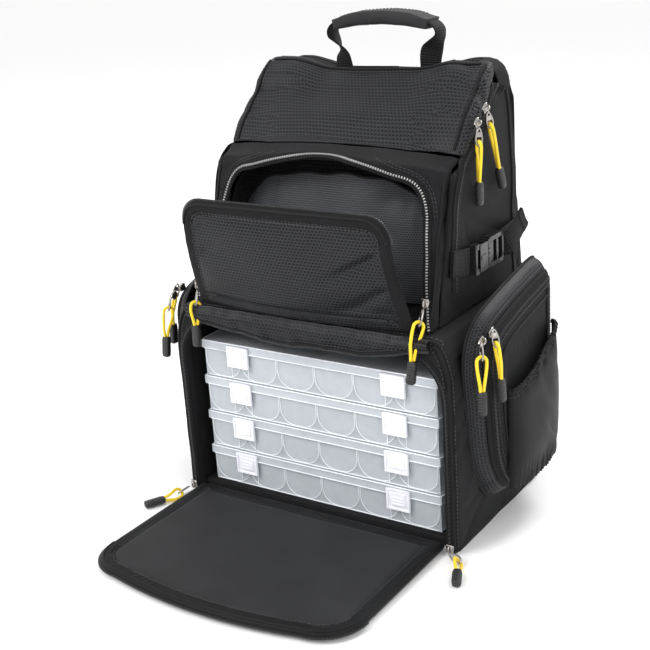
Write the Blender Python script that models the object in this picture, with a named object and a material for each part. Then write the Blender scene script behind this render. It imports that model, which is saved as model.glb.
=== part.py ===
"""Tackle backpack with four utility boxes, a drop-down front door and an open upper pocket.

Frame: metres, +X to the right as seen from the front, +Y to the padded back, +Z up.
The origin is on the floor, in the middle of the width; the box bay faces -Y.
"""
import math

import bmesh
import bpy
from mathutils import Matrix, Vector

# ---- driving dimensions ----
BOX_COUNT = 4
BOX_WIDTH = 0.275
BOX_DEPTH = 0.180
BOX_HEIGHT = 0.0392
BOX_PITCH = 0.0397
BOX_FRONT = -0.099
BOX_BASE = 0.0108
LID_RIM = 0.009
LID_WALL = 0.0016
TRAY_CLEARANCE = 0.0004
CHANNELS = 6
LATCH_OFFSET = 0.0908
LATCH_WIDTH = 0.027
LATCH_FOOT = 0.0145
LID_TOP = 0.0020
TRAY_WALL = 0.0018
CHANNEL_RADIUS = 0.016

GAP = 0.0004                # between pieces that touch
SHELL_HALF = 0.160          # lower shell, half width
SHELL_FRONT = -0.112
SHELL_BACK = 0.082
SHELL_WALL = 0.010
SHELL_TOP = 0.2135
SHELL_ROOF = 0.0045
NECK_HALF = 0.136           # half width where the lower shell meets the upper front

DOOR_AXIS = Vector((0.0, -0.108, 0.006))
DOOR_HALF = 0.146
DOOR_BOTTOM = 0.0005
DOOR_TOP = 0.0105
DOOR_START = 0.002
DOOR_SHOULDER = 0.188
DOOR_CORNER = 0.042
DOOR_CROWN = 0.012

PANEL_HALF = 0.134          # upper front panel, half width
PANEL_BASE = (-0.107, 0.2142)
PANEL_SEAM = (-0.038, 0.3675)
LEAN = math.radians(16.7)   # how far the upper front leans back
WEB = 0.005
FLANGE = 0.018
FLANGE_THICKNESS = 0.004
CROWN = 0.004
RIDGE = (0.049, 0.4270)
RIDGE_HALF = 0.128

POCKET_RIM = 0.0125         # depth of the upper pocket's lining behind the front plane
POCKET_BACK = 0.0460
FOLD_AXIS = Vector((0.0, -0.1095, 0.2170))
FLAP_AXIS = Vector((0.0, -0.1340, 0.2235))
FLAP_LEAN = math.radians(8.0)
FLAP_LENGTH = 0.115
FLAP_THICKNESS = 0.006

BACK_FACE = 0.098
BACK_FRONT = 0.0824
BACK_TOP = 0.424

SIDE_BASE = 0.1605          # where the side pockets meet the shell
SIDE_RIM = 0.176
SIDE_COVER = 0.187
STRAP_HEIGHT = 0.264        # side compression strap
WEBBING_WIDTH = 0.025
WEBBING = 0.0018
HANDLE_Y = 0.069
GRIP_HALF = 0.048
TAB_LENGTH = 0.017
GRIP_LENGTH = 0.022
POCKET_PULL_END = 0.1712    # just above the top box, which slides out under it

BLACK = (0.012, 0.012, 0.013)
CHARCOAL = (0.030, 0.031, 0.033)
LINING = (0.048, 0.050, 0.052)
FROSTED = (0.780, 0.830, 0.860)
MILKY = (0.860, 0.880, 0.900)
YELLOW = (0.900, 0.560, 0.010)


# ---- shared helpers ----
def clear_scene():
    for thing in list(bpy.data.objects):
        bpy.data.objects.remove(thing, do_unlink=True)


def material(name, colour, roughness, metallic=0.0):
    made = bpy.data.materials.new(name)
    made.use_nodes = True
    shader = made.node_tree.nodes["Principled BSDF"]
    shader.inputs["Base Color"].default_value = (*colour, 1.0)
    shader.inputs["Roughness"].default_value = roughness
    shader.inputs["Metallic"].default_value = metallic
    return made


def add_object(name, mesh, look, origin=(0.0, 0.0, 0.0)):
    """Link a mesh whose points are in world space, with its origin moved to a chosen point."""
    origin = Vector(origin)
    mesh.transform(Matrix.Translation(-origin))
    mesh.materials.append(look)
    thing = bpy.data.objects.new(name, mesh)
    thing.location = origin
    bpy.context.scene.collection.objects.link(thing)
    return thing


def loft(name, rings, closed=False):
    """Skin equal rings of points in order, capped at both ends or joined into a loop."""
    work = bmesh.new()
    made = [[work.verts.new(point) for point in ring] for ring in rings]
    pairs = list(zip(made, made[1:]))
    if closed:
        pairs.append((made[-1], made[0]))
    for low, high in pairs:
        for i in range(len(low)):
            j = (i + 1) % len(low)
            work.faces.new((low[i], low[j], high[j], high[i]))
    if not closed:
        work.faces.new(made[0])
        work.faces.new(made[-1])
    bmesh.ops.recalc_face_normals(work, faces=work.faces)
    mesh = bpy.data.meshes.new(name)
    work.to_mesh(mesh)
    work.free()
    if signed_volume(mesh) < 0.0:
        mesh.flip_normals()
    return mesh


def signed_volume(mesh):
    total = 0.0
    mesh.calc_loop_triangles()
    for triangle in mesh.loop_triangles:
        a, b, c = (mesh.vertices[i].co for i in triangle.vertices)
        total += a.dot(b.cross(c)) / 6.0
    return total


def subtract(mesh, cutters):
    """Cut closed meshes out of a mesh and return what is left as a new mesh."""
    body = bpy.data.objects.new("body", mesh)
    bpy.context.scene.collection.objects.link(body)
    tools = []
    for number, shape in enumerate(cutters):
        tool = bpy.data.objects.new(f"cutter_{number}", shape)
        bpy.context.scene.collection.objects.link(tool)
        tools.append(tool)
        cut = body.modifiers.new(f"Cut {number}", "BOOLEAN")
        cut.operation = "DIFFERENCE"
        cut.solver = "EXACT"
        cut.object = tool
    bpy.context.view_layer.update()
    graph = bpy.context.evaluated_depsgraph_get()
    left = bpy.data.meshes.new_from_object(body.evaluated_get(graph))
    for thing in [body] + tools:
        bpy.data.objects.remove(thing, do_unlink=True)
    return left


def offset(outline, distance):
    """Move a counter-clockwise outline outward by a distance, with mitred corners."""
    made = []
    count = len(outline)
    for i in range(count):
        before = Vector(outline[i]) - Vector(outline[i - 1])
        after = Vector(outline[(i + 1) % count]) - Vector(outline[i])
        first = Vector((before.y, -before.x)).normalized()
        second = Vector((after.y, -after.x)).normalized()
        mitre = (first + second) / (1.0 + first.dot(second))
        made.append(tuple(Vector(outline[i]) + mitre * distance))
    return made


def arc(centre, radius, start, end, steps):
    """Points on an arc between two angles in degrees, both ends included."""
    made = []
    for i in range(steps + 1):
        angle = math.radians(start + (end - start) * i / steps)
        made.append((centre[0] + radius * math.cos(angle), centre[1] + radius * math.sin(angle)))
    return made


def arch(half_base, half_top, base, shoulder, radius, crown, corner_steps=4, crown_steps=4):
    """Counter-clockwise arch outline: straight sides, round top corners and a bowed top."""
    right = [(half_base, base)]
    right += arc((half_top - radius, shoulder - radius), radius, 0.0, 90.0, corner_steps)
    reach = half_top - radius
    for i in range(1, crown_steps):
        across = reach * (1.0 - i / crown_steps)
        right.append((across, shoulder + crown * (1.0 - (across / reach) ** 2)))
    left = [(-x, y) for x, y in reversed(right)]
    return right + [(0.0, shoulder + crown)] + left


def across_y(outline, y):
    return [(x, y, z) for x, z in outline]


def along_front(outline, depth):
    """Place an (x, z) outline on the leaning front plane, moved back by a depth along Y."""
    slope = math.tan(LEAN)
    return [(x, PANEL_BASE[0] + (z - PANEL_BASE[1]) * slope + depth, z) for x, z in outline]


def bend_path(points, width, thickness, flat):
    """Rings of a flat strip along a path; flat gives the width direction at each point."""
    rings = []
    for i, point in enumerate(points):
        here = Vector(point)
        ahead = Vector(points[min(i + 1, len(points) - 1)])
        behind = Vector(points[max(i - 1, 0)])
        run = (ahead - behind).normalized()
        wide = Vector(flat[i] if isinstance(flat, list) else flat)
        wide = (wide - run * wide.dot(run)).normalized()
        thin = run.cross(wide)
        half = (width[i] if isinstance(width, list) else width) / 2.0
        deep = (thickness[i] if isinstance(thickness, list) else thickness) / 2.0
        corners = ((-half, -deep), (half, -deep), (half, deep), (-half, deep))
        rings.append([here + wide * a + thin * b for a, b in corners])
    return rings


# ---- tackle boxes ----
def channel_outline(centre, width, bottom, top, radius):
    """Counter-clockwise outline of one channel with a rounded floor."""
    half = width / 2.0
    low = bottom + radius
    points = arc((centre - half + radius, low), radius, 180.0, 270.0, 4)
    points += arc((centre + half - radius, low), radius, 270.0, 360.0, 4)
    return points + [(centre + half, top), (centre - half, top)]


def tray_mesh():
    """A tray of long U-shaped channels that run front to back, on its own front edge."""
    inset = LID_WALL + TRAY_CLEARANCE
    half = BOX_WIDTH / 2.0 - inset
    front = BOX_FRONT + inset
    back = BOX_FRONT + BOX_DEPTH - inset
    top = BOX_HEIGHT - LID_TOP - TRAY_CLEARANCE
    outer = [(-half, 0.0), (half, 0.0), (half, top), (-half, top)]
    body = loft("tray", [across_y(outer, front), across_y(outer, back)])
    pitch = (2.0 * half - TRAY_WALL) / CHANNELS
    cutters = []
    for i in range(CHANNELS):
        centre = -half + TRAY_WALL / 2.0 + pitch * (i + 0.5)
        cell = channel_outline(centre, pitch - TRAY_WALL, TRAY_WALL, top + 0.002, CHANNEL_RADIUS)
        ends = (front + TRAY_WALL, back - TRAY_WALL)
        cutters.append(loft("channel", [across_y(cell, y) for y in ends]))
    return subtract(body, cutters)


def lid_mesh():
    """A lid plate with a rim that hangs over the tray."""
    half = BOX_WIDTH / 2.0
    back = BOX_FRONT + BOX_DEPTH
    outer = [(-half, BOX_FRONT), (half, BOX_FRONT), (half, back), (-half, back)]
    inner = offset(outer, -LID_WALL)
    low = BOX_HEIGHT - LID_RIM
    under = BOX_HEIGHT - LID_TOP
    rings = [(inner, under), (inner, low), (outer, low), (outer, BOX_HEIGHT)]
    return loft("lid", [[(x, y, z) for x, y in ring] for ring, z in rings])


def latch_mesh(centre):
    """A snap latch: a plate hinged at its foot, with a thumb lip along its top."""
    face = BOX_FRONT - GAP
    profile = [
        (face - 0.0022, LATCH_FOOT),
        (face, LATCH_FOOT),
        (face, BOX_HEIGHT - 0.0015),
        (face - 0.0034, BOX_HEIGHT - 0.0009),
        (face - 0.0034, BOX_HEIGHT - 0.0033),
        (face - 0.0022, BOX_HEIGHT - 0.0045),
    ]
    ends = (centre - LATCH_WIDTH / 2.0, centre + LATCH_WIDTH / 2.0)
    return loft("latch", [[(x, y, z) for y, z in profile] for x in ends])


def build_boxes(frosted, milky):
    tray = tray_mesh()
    lid = lid_mesh()
    for number in range(BOX_COUNT):
        lift = Matrix.Translation((0.0, 0.0, BOX_BASE + number * BOX_PITCH))
        name = f"box_{number + 1}"
        for part, mesh in (("tray", tray.copy()), ("lid", lid.copy())):
            mesh.transform(lift)
            add_object(f"{name}_{part}", mesh, frosted)
        for side, centre in (("left", -LATCH_OFFSET), ("right", LATCH_OFFSET)):
            mesh = latch_mesh(centre)
            mesh.transform(lift)
            foot = (centre, BOX_FRONT - 0.0015, BOX_BASE + number * BOX_PITCH + LATCH_FOOT)
            add_object(f"{name}_latch_{side}", mesh, milky, foot)


# ---- lower compartment ----
def door_outline(grow=0.0):
    """The door's outline as (x, distance from the hinge)."""
    shape = arch(DOOR_HALF, DOOR_HALF, DOOR_START, DOOR_SHOULDER, DOOR_CORNER, DOOR_CROWN, 4, 4)
    return offset(shape, grow) if grow else shape


def build_door(look):
    """A padded door that lies on the floor, its hinge along its near edge."""
    shape = door_outline()
    slim = offset(shape, -0.003)
    rings = [(slim, DOOR_BOTTOM), (shape, 0.003), (shape, 0.008), (slim, DOOR_TOP)]
    lifted = [[(x, DOOR_AXIS.y - reach, z) for x, reach in ring] for ring, z in rings]
    add_object("tackle_door", loft("tackle_door", lifted), look, DOOR_AXIS)


def shell_outline(half, top, neck, shoulder):
    """Front outline of the lower compartment: upright sides that round in to a narrower neck."""
    rise = top - shoulder
    pull = half - neck
    right = [(half, 0.0)]
    for i in range(5):
        angle = math.radians(90.0 * i / 4)
        right.append((neck + pull * math.cos(angle), shoulder + rise * math.sin(angle)))
    return right + [(-x, z) for x, z in reversed(right)]


def build_lower_shell(look):
    """The box bay: side walls, roof and the front border around the door opening."""
    outer = shell_outline(SHELL_HALF, SHELL_TOP, NECK_HALF, 0.160)
    soft = offset(outer, -0.004)
    soft[0] = (soft[0][0], 0.0)
    soft[-1] = (soft[-1][0], 0.0)
    rings = [(soft, SHELL_FRONT), (outer, SHELL_FRONT + 0.005), (outer, SHELL_BACK)]
    body = loft("lower_shell", [across_y(ring, y) for ring, y in rings])
    inner_half = SHELL_HALF - SHELL_WALL
    bay = shell_outline(inner_half, SHELL_TOP - SHELL_ROOF, NECK_HALF - SHELL_WALL, 0.164)
    bay[0] = (inner_half, -0.010)
    bay[-1] = (-inner_half, -0.010)
    bay_cut = loft("bay", [across_y(bay, SHELL_FRONT + 0.008), across_y(bay, SHELL_BACK + 0.010)])
    opening = [(x, DOOR_AXIS.z + reach) for x, reach in door_outline(0.002)]
    opening[0] = (opening[0][0], -0.010)
    opening[-1] = (opening[-1][0], -0.010)
    ends = (SHELL_FRONT - 0.010, SHELL_FRONT + 0.012)
    opening_cut = loft("opening", [across_y(opening, y) for y in ends])
    add_object("lower_shell", subtract(body, [bay_cut, opening_cut]), look)


def build_floor(fabric, board):
    half = SHELL_HALF - SHELL_WALL - GAP
    slab("base_panel", (-half, -0.1026, 0.0), (half, SHELL_BACK, 0.0104), fabric)
    slab("divider_shelf", (-0.124, -0.094, 0.2138), (0.124, 0.0805, 0.2178), board)


def slab(name, low, high, look):
    add_object(name, block(low, high), look)


def block(low, high):
    outline = [(low[0], low[1]), (high[0], low[1]), (high[0], high[1]), (low[0], high[1])]
    return loft("block", [[(x, y, z) for x, y in outline] for z in (low[2], high[2])])


# ---- back ----
def back_outline(shrink):
    """Outline of the padded back, narrower towards the top."""
    right = [(0.152, 0.0), (0.152, 0.165), (0.134, 0.225), (0.124, 0.395)]
    right += arc((0.100, BACK_TOP - 0.024), 0.024, 0.0, 90.0, 3)[1:]
    shape = right + [(-x, z) for x, z in reversed(right)]
    return offset(shape, -shrink)


def build_back(padded):
    rings = [(0.0, BACK_FRONT), (0.0, BACK_FACE - 0.004), (0.004, BACK_FACE)]
    made = [across_y(back_outline(shrink), y) for shrink, y in rings]
    for ring in made[2:]:
        ring[0] = (ring[0][0], ring[0][1], 0.004)
        ring[-1] = (ring[-1][0], ring[-1][1], 0.004)
    add_object("back_panel", loft("back_panel", made), padded)


# ---- upper body ----
def channel_ring(point, half, normal, web, depth, flange):
    """One U-shaped section of a panel with side flanges, bowed outward in the middle."""
    y, z = point
    inner = half - flange
    outline = [(half, CROWN + 0.002), (half - 0.006, CROWN)]
    outline += [(half * t, CROWN * t * t) for t in (0.7, 0.35, 0.0, -0.35, -0.7)]
    outline += [(-half + 0.006, CROWN), (-half, CROWN + 0.002), (-half, depth), (-inner, depth)]
    outline += [(-inner, CROWN + web + 0.001), (0.0, web + 0.001), (inner, CROWN + web + 0.001)]
    outline += [(inner, depth), (half, depth)]
    return [(x, y - normal[0] * d, z - normal[1] * d) for x, d in outline]


def build_front_panel(look):
    """The leaning upper front with its arched pocket opening."""
    slope = math.tan(LEAN)
    foot = (PANEL_BASE[0], PANEL_BASE[1] + 0.0004)
    break_z = 0.360
    bend = (PANEL_BASE[0] + (break_z - PANEL_BASE[1]) * slope, break_z)
    front = (-math.cos(LEAN), math.sin(LEAN))
    mitre = (-math.sin(math.radians(55.0)), math.cos(math.radians(55.0)))
    stations = [(foot, NECK_HALF, (-1.0, 0.0)), (bend, PANEL_HALF, front)]
    middle = tuple((a + b) / 2.0 for a, b in zip(foot, bend))
    stations.insert(1, (middle, PANEL_HALF + 0.001, front))
    stations.append((PANEL_SEAM, PANEL_HALF, mitre))
    rings = [channel_ring(p, half, n, WEB, FLANGE, FLANGE_THICKNESS) for p, half, n in stations]
    body = loft("front_panel", rings)
    hole = pocket_arch()
    cut = loft("pocket_hole", [along_front(hole, -0.020), along_front(hole, 0.030)])
    add_object("front_panel", subtract(body, [cut]), look)


def pocket_arch():
    """Outline of the upper pocket's zipped opening, as (x, z)."""
    return arch(0.127, 0.116, 0.2205, 0.3435, 0.034, 0.0130, 4, 4)


def build_pocket(mesh_look, inner_look):
    """The upper pocket's lining and the gathered organiser pouch on its back wall."""
    outer = offset(pocket_arch(), 0.0014)
    inner = offset(outer, -0.003)
    rings = [(inner, POCKET_BACK - 0.003), (inner, POCKET_RIM)]
    rings += [(outer, POCKET_RIM), (outer, POCKET_BACK)]
    made = [along_front(ring, depth) for ring, depth in rings]
    add_object("pocket_lining", loft("pocket_lining", made), mesh_look)
    near = POCKET_BACK - 0.003 - GAP
    plan = [(0.104, near), (0.080, near - 0.013), (0.0, near - 0.017), (-0.080, near - 0.013)]
    plan += [(-0.104, near), (-0.100, near), (-0.078, near - 0.0105), (0.0, near - 0.0145)]
    plan += [(0.078, near - 0.0105), (0.100, near)]
    heights = (0.226, 0.320)
    slope = math.tan(LEAN)
    rings = []
    for z in heights:
        plane = PANEL_BASE[0] + (z - PANEL_BASE[1]) * slope
        rings.append([(x, plane + d, z) for x, d in plan])
    add_object("organiser_pouch", loft("organiser_pouch", rings), inner_look)


def build_flap(look):
    """The pocket's open flap, standing on the fold of fabric that bulges out below it."""
    fold = [(0.0, -0.0022), (-0.004, -0.0058), (-0.011, -0.0080), (-0.019, -0.0072)]
    fold += [(-0.0245, -0.0035), (-0.0265, 0.0010), (-0.0235, 0.0050), (-0.0150, 0.0058)]
    fold += [(-0.0050, 0.0045), (0.0, 0.0022)]
    rings = []
    for x in (-0.1195, 0.1195):
        rings.append([(x, FOLD_AXIS.y + y, FOLD_AXIS.z + z) for y, z in fold])
    add_object("pocket_fold", loft("pocket_fold", rings), look, FOLD_AXIS)
    shape = arch(0.1180, 0.1085, 0.0036, FLAP_LENGTH - 0.014, 0.030, 0.014, 4, 4)
    slim = offset(shape, -0.002)
    half = FLAP_THICKNESS / 2.0
    layers = [(slim, -half), (shape, -half + 0.002), (shape, half - 0.002), (slim, half)]
    along = Vector((0.0, -math.sin(FLAP_LEAN), math.cos(FLAP_LEAN)))
    out = Vector((0.0, -math.cos(FLAP_LEAN), -math.sin(FLAP_LEAN)))
    rings = []
    for outline, depth in layers:
        rings.append([FLAP_AXIS + Vector((x, 0.0, 0.0)) + along * s + out * depth for x, s in outline])
    add_object("pocket_flap", loft("pocket_flap", rings), look, FLAP_AXIS)


def build_top_panel(look):
    """The sloping lid over the main compartment, hinged along its front seam."""
    start = (PANEL_SEAM[0] + 0.0006, PANEL_SEAM[1] + 0.0004)
    bend = (-0.008, 0.3940)
    seam = (-math.sin(math.radians(55.0)), math.cos(math.radians(55.0)))
    slope = (-math.sin(math.radians(36.0)), math.cos(math.radians(36.0)))
    crest = (-math.sin(math.radians(14.0)), math.cos(math.radians(14.0)))
    stations = [(start, PANEL_HALF, seam), (bend, PANEL_HALF, slope)]
    stations += [((0.024, 0.4155), 0.131, slope), (RIDGE, RIDGE_HALF, crest)]
    rings = [channel_ring(p, half, n, WEB, FLANGE, FLANGE_THICKNESS) for p, half, n in stations]
    add_object("top_panel", loft("top_panel", rings), look, (0.0, *PANEL_SEAM))


def rear_edge(z):
    """How far forward the rear shell's side walls reach at a height, just behind the zip."""
    line = [(0.2142, -0.0870), (0.346, -0.0475), (0.353, -0.0215), (0.3576, -0.0215)]
    line += [(0.3794, 0.0040), (0.4009, 0.0365), (0.4095, 0.0555), (0.413, 0.0600)]
    for (low, near), (high, far) in zip(line, line[1:]):
        if z <= high:
            return near + (far - near) * (z - low) / (high - low)
    return line[-1][1]


def build_rear_shell(look):
    """The gusset around the main compartment: two side walls joined over the top."""
    stations = [(0.136, 0.2142, 0.0), (0.134, 0.262, 0.0), (0.134, 0.346, 0.0), (0.134, 0.354, 0.0)]
    stations += [(0.133, 0.3794, 0.0), (0.131, 0.4005, 0.0)]
    for turn in (18.0, 42.0, 66.0, 90.0):
        angle = math.radians(turn)
        stations.append((0.108 + 0.022 * math.cos(angle), 0.406 + 0.022 * math.sin(angle), angle))
    rings = []
    for side, row in ((1.0, stations), (-1.0, list(reversed(stations)))):
        for x, z, turn in row:
            inner_x = x - math.cos(turn) * FLANGE_THICKNESS
            inner_z = z - math.sin(turn) * FLANGE_THICKNESS
            front = rear_edge(z)
            corners = [(x, front, z), (x, SHELL_BACK, z)]
            corners += [(inner_x, SHELL_BACK, inner_z), (inner_x, front, inner_z)]
            rings.append([(side * a, b, c) for a, b, c in corners])
    add_object("rear_shell", loft("rear_shell", rings), look)


# ---- handle ----
def handle_height(x):
    """Height of the handle's bowed crest."""
    return 0.4745 - 1.6 * x * x


def build_handle(webbing, grip):
    """A carrying loop of webbing with a padded wrap around its middle."""
    foot = 0.4300
    right = [(0.050, foot, 0), (0.050, 0.4385, 15), (0.056, 0.4480, 60), (0.064, 0.4570, 90)]
    right += [(0.061, 0.4660, 90), (0.049, handle_height(0.049), 90), (0.025, handle_height(0.025), 90)]
    points = []
    flat = []
    for x, z, turn in right + [(0.0, handle_height(0.0), 90)]:
        points.append((x, HANDLE_Y, z))
        flat.append(Vector((math.cos(math.radians(turn)), math.sin(math.radians(turn)), 0.0)))
    for x, z, turn in reversed(right):
        points.append((-x, HANDLE_Y, z))
        flat.append(Vector((math.cos(math.radians(turn)), -math.sin(math.radians(turn)), 0.0)))
    for i in range(len(right) + 1, len(points)):
        flat[i] = Vector((-flat[i].x, -flat[i].y, 0.0))
    rings = bend_path(points, 0.022, WEBBING, flat)
    pivot = (0.0, HANDLE_Y, foot)
    add_object("handle_webbing", loft("handle_webbing", rings), webbing, pivot)
    inner = []
    outer = []
    for i in range(9):
        t = -1.0 + 2.0 * i / 8
        here = Vector((GRIP_HALF * t, HANDLE_Y, handle_height(GRIP_HALF * t)))
        tilt = math.atan2(handle_height(here.x + 0.001) - here.z, 0.001)
        up = Vector((-math.sin(tilt), 0.0, math.cos(tilt)))
        side = Vector((0.0, 1.0, 0.0))
        corners = [(-1, -1), (1, -1), (1, 1), (-1, 1)]
        inner.append([here + side * 0.0118 * a + up * 0.0018 * b for a, b in corners])
        outer.append([here + side * 0.0145 * a + up * 0.0062 * b for a, b in corners])
    rings = inner + list(reversed(outer))
    add_object("handle_grip", loft("handle_grip", rings, closed=True), grip, pivot)


# ---- side pockets and straps ----
def side_outline():
    """Side view of a zipped side pocket as (y, z), counter-clockwise seen from +X."""
    front = [(-0.052, 0.030), (0.066, 0.030), (0.066, 0.240), (0.058, 0.247)]
    return front + [(-0.020, 0.234), (-0.070, 0.222), (-0.090, 0.205), (-0.096, 0.180), (-0.084, 0.080)]


def place_side(outline, side, x):
    return [(side * x, y, z) for y, z in outline]


def build_side(name, side, shell_look, cover_look, stretch_look):
    base = side_outline()
    rim = offset(base, -0.010)
    rings = [(offset(base, -0.004), SIDE_BASE + 0.003), (offset(rim, -0.004), SIDE_RIM)]
    rings += [(rim, SIDE_RIM), (base, SIDE_BASE)]
    made = [place_side(ring, side, x) for ring, x in rings]
    add_object(f"side_pocket_{name}", loft("side_pocket", made), shell_look)
    start = SIDE_RIM + GAP
    rings = [(offset(rim, -0.024), SIDE_COVER - 0.003), (offset(rim, -0.003), start + 0.0005)]
    rings += [(offset(rim, -0.0028), start), (rim, start), (rim, start + 0.003)]
    rings.append((offset(rim, -0.020), SIDE_COVER))
    made = [place_side(ring, side, x) for ring, x in rings]
    hinge = (side * (start + 0.0015), 0.0, rim[0][1])
    add_object(f"side_cover_{name}", loft("side_cover", made), cover_look, hinge)
    build_bottle_pocket(name, side, stretch_look)


def pouch_ring(side, z_near, z_far, swell, shrink):
    """Plan section of the bottle pocket: flat against the cover, bowed outward."""
    near = -0.056 + shrink
    far = 0.044 - shrink
    points = []
    for i in range(9):
        angle = math.pi * i / 8
        y = (near + far) / 2.0 - (far - near) / 2.0 * math.cos(angle)
        bow = 0.003 + swell * math.sin(angle) ** 0.6 - shrink if 0 < i < 8 else shrink
        x = side * (SIDE_COVER + GAP + bow)
        points.append((x, y, z_near + (z_far - z_near) * (y - near) / (far - near)))
    return points


def build_bottle_pocket(name, side, look):
    """An open-topped stretch pouch on the side cover; its rim rises towards the back."""
    wall = 0.002
    rings = [pouch_ring(side, 0.0525, 0.0525, 0.008, wall), pouch_ring(side, 0.066, 0.068, 0.015, wall)]
    rings += [pouch_ring(side, 0.100, 0.108, 0.019, wall), pouch_ring(side, 0.149, 0.186, 0.0155, wall)]
    rings += [pouch_ring(side, 0.149, 0.186, 0.0155, 0.0), pouch_ring(side, 0.100, 0.108, 0.019, 0.0)]
    rings += [pouch_ring(side, 0.066, 0.068, 0.015, 0.0), pouch_ring(side, 0.050, 0.050, 0.008, 0.0)]
    add_object(f"bottle_pocket_{name}", loft("bottle_pocket", rings), look)


def build_side_strap(name, side, webbing, plastic):
    """Sewn stub, socket, plug and adjusting webbing of one compression strap."""
    upright = (0.0, 0.0, 1.0)
    height = STRAP_HEIGHT
    path = [(0.1372, -0.064, 0.005), (0.1378, -0.050, 0.002), (0.1393, -0.0345, 0.0)]
    points = [(side * a, b, height + c) for a, b, c in path]
    rings = bend_path(points, WEBBING_WIDTH, WEBBING, upright)
    add_object(f"strap_front_{name}", loft("strap", rings), webbing)
    path = [(0.1372, 0.080, 0.003), (0.1385, 0.050, 0.001), (0.1394, 0.0345, 0.0), (0.1430, 0.0310, 0.0)]
    path += [(0.1475, 0.0330, 0.002), (0.1510, 0.0410, 0.008), (0.1545, 0.0560, 0.022)]
    points = [(side * a, b, height + c) for a, b, c in path]
    flat = [Vector(upright)] * 4 + [Vector((0.0, -t, 1.0)) for t in (0.1, 0.35, 0.6)]
    rings = bend_path(points, WEBBING_WIDTH, WEBBING, flat)
    add_object(f"strap_adjuster_{name}", loft("strap", rings), webbing)
    socket = [(0.1372, -0.0320), (0.1372, -0.0080), (0.1470, -0.0080), (0.1470, -0.0250), (0.1430, -0.0320)]
    plug = [(0.1372, -0.0076), (0.1372, 0.0280), (0.1415, 0.0280), (0.1465, 0.0180), (0.1465, -0.0076)]
    half = WEBBING_WIDTH / 2.0 + 0.0025
    for part, outline in (("socket", socket), ("plug", plug)):
        rings = []
        for z in (height - half, height + half):
            rings.append([(side * a, b, z) for a, b in outline])
        add_object(f"buckle_{part}_{name}", loft("buckle", rings), plastic)


def build_shoulder_strap(name, side, padded, webbing, plastic):
    """A padded strap from the top of the back to a ladder lock and base webbing."""
    start = BACK_FACE + GAP
    path = [(0.048, start + 0.0090, 0.400), (0.052, start + 0.024, 0.380), (0.060, start + 0.034, 0.335)]
    path += [(0.072, start + 0.036, 0.280), (0.084, start + 0.028, 0.220), (0.092, start + 0.018, 0.165)]
    path.append((0.096, start + 0.014, 0.140))
    points = [(side * a, b, c) for a, b, c in path]
    width = [0.060, 0.064, 0.068, 0.068, 0.060, 0.048, 0.036]
    thick = [0.010, 0.012, 0.013, 0.013, 0.012, 0.011, 0.009]
    rings = bend_path(points, width, thick, (1.0, 0.0, 0.0))
    add_object(f"shoulder_strap_{name}", loft("shoulder_strap", rings), padded)
    lock = [(side * 0.0965, start + 0.0135, 0.1345), (side * 0.0975, start + 0.0125, 0.1165)]
    rings = bend_path(lock, 0.032, 0.005, (1.0, 0.0, 0.0))
    add_object(f"ladder_lock_{name}", loft("ladder_lock", rings), plastic)
    path = [(0.0990, start + 0.0110, 0.1090), (0.112, start + 0.0075, 0.075), (0.128, start + 0.0022, 0.036)]
    points = [(side * a, b, c) for a, b, c in path]
    rings = bend_path(points, WEBBING_WIDTH, WEBBING, (1.0, 0.0, 0.0))
    add_object(f"lower_webbing_{name}", loft("lower_webbing", rings), webbing)


# ---- zip pulls ----
def build_pull(name, path, wide, look):
    """A pull as one body: metal tab, cord loop and ribbed grip, hung from its first point."""
    points = [Vector(point) for point in path]
    lengths = [0.0]
    for a, b in zip(points, points[1:]):
        lengths.append(lengths[-1] + (b - a).length)
    total = lengths[-1]

    def at(distance):
        for i, (low, high) in enumerate(zip(lengths, lengths[1:])):
            if distance <= high + 1e-9:
                return points[i].lerp(points[i + 1], (distance - low) / (high - low))
        return points[-1]

    grip = total - GRIP_LENGTH
    stations = [(0.0, 0.006, 0.0016), (TAB_LENGTH, 0.008, 0.0016), (TAB_LENGTH + 0.001, 0.0058, 0.003)]
    stations += [(grip - 0.001, 0.0058, 0.003), (grip, 0.0084, 0.0070), (total - 0.002, 0.0090, 0.0076)]
    stations.append((total, 0.0070, 0.0056))
    width = [a[1] for a in stations]
    depth = [a[2] for a in stations]
    rings = bend_path([at(a[0]) for a in stations], width, depth, wide)
    add_object(f"pull_{name}", loft("pull", rings), look, points[0])


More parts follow.
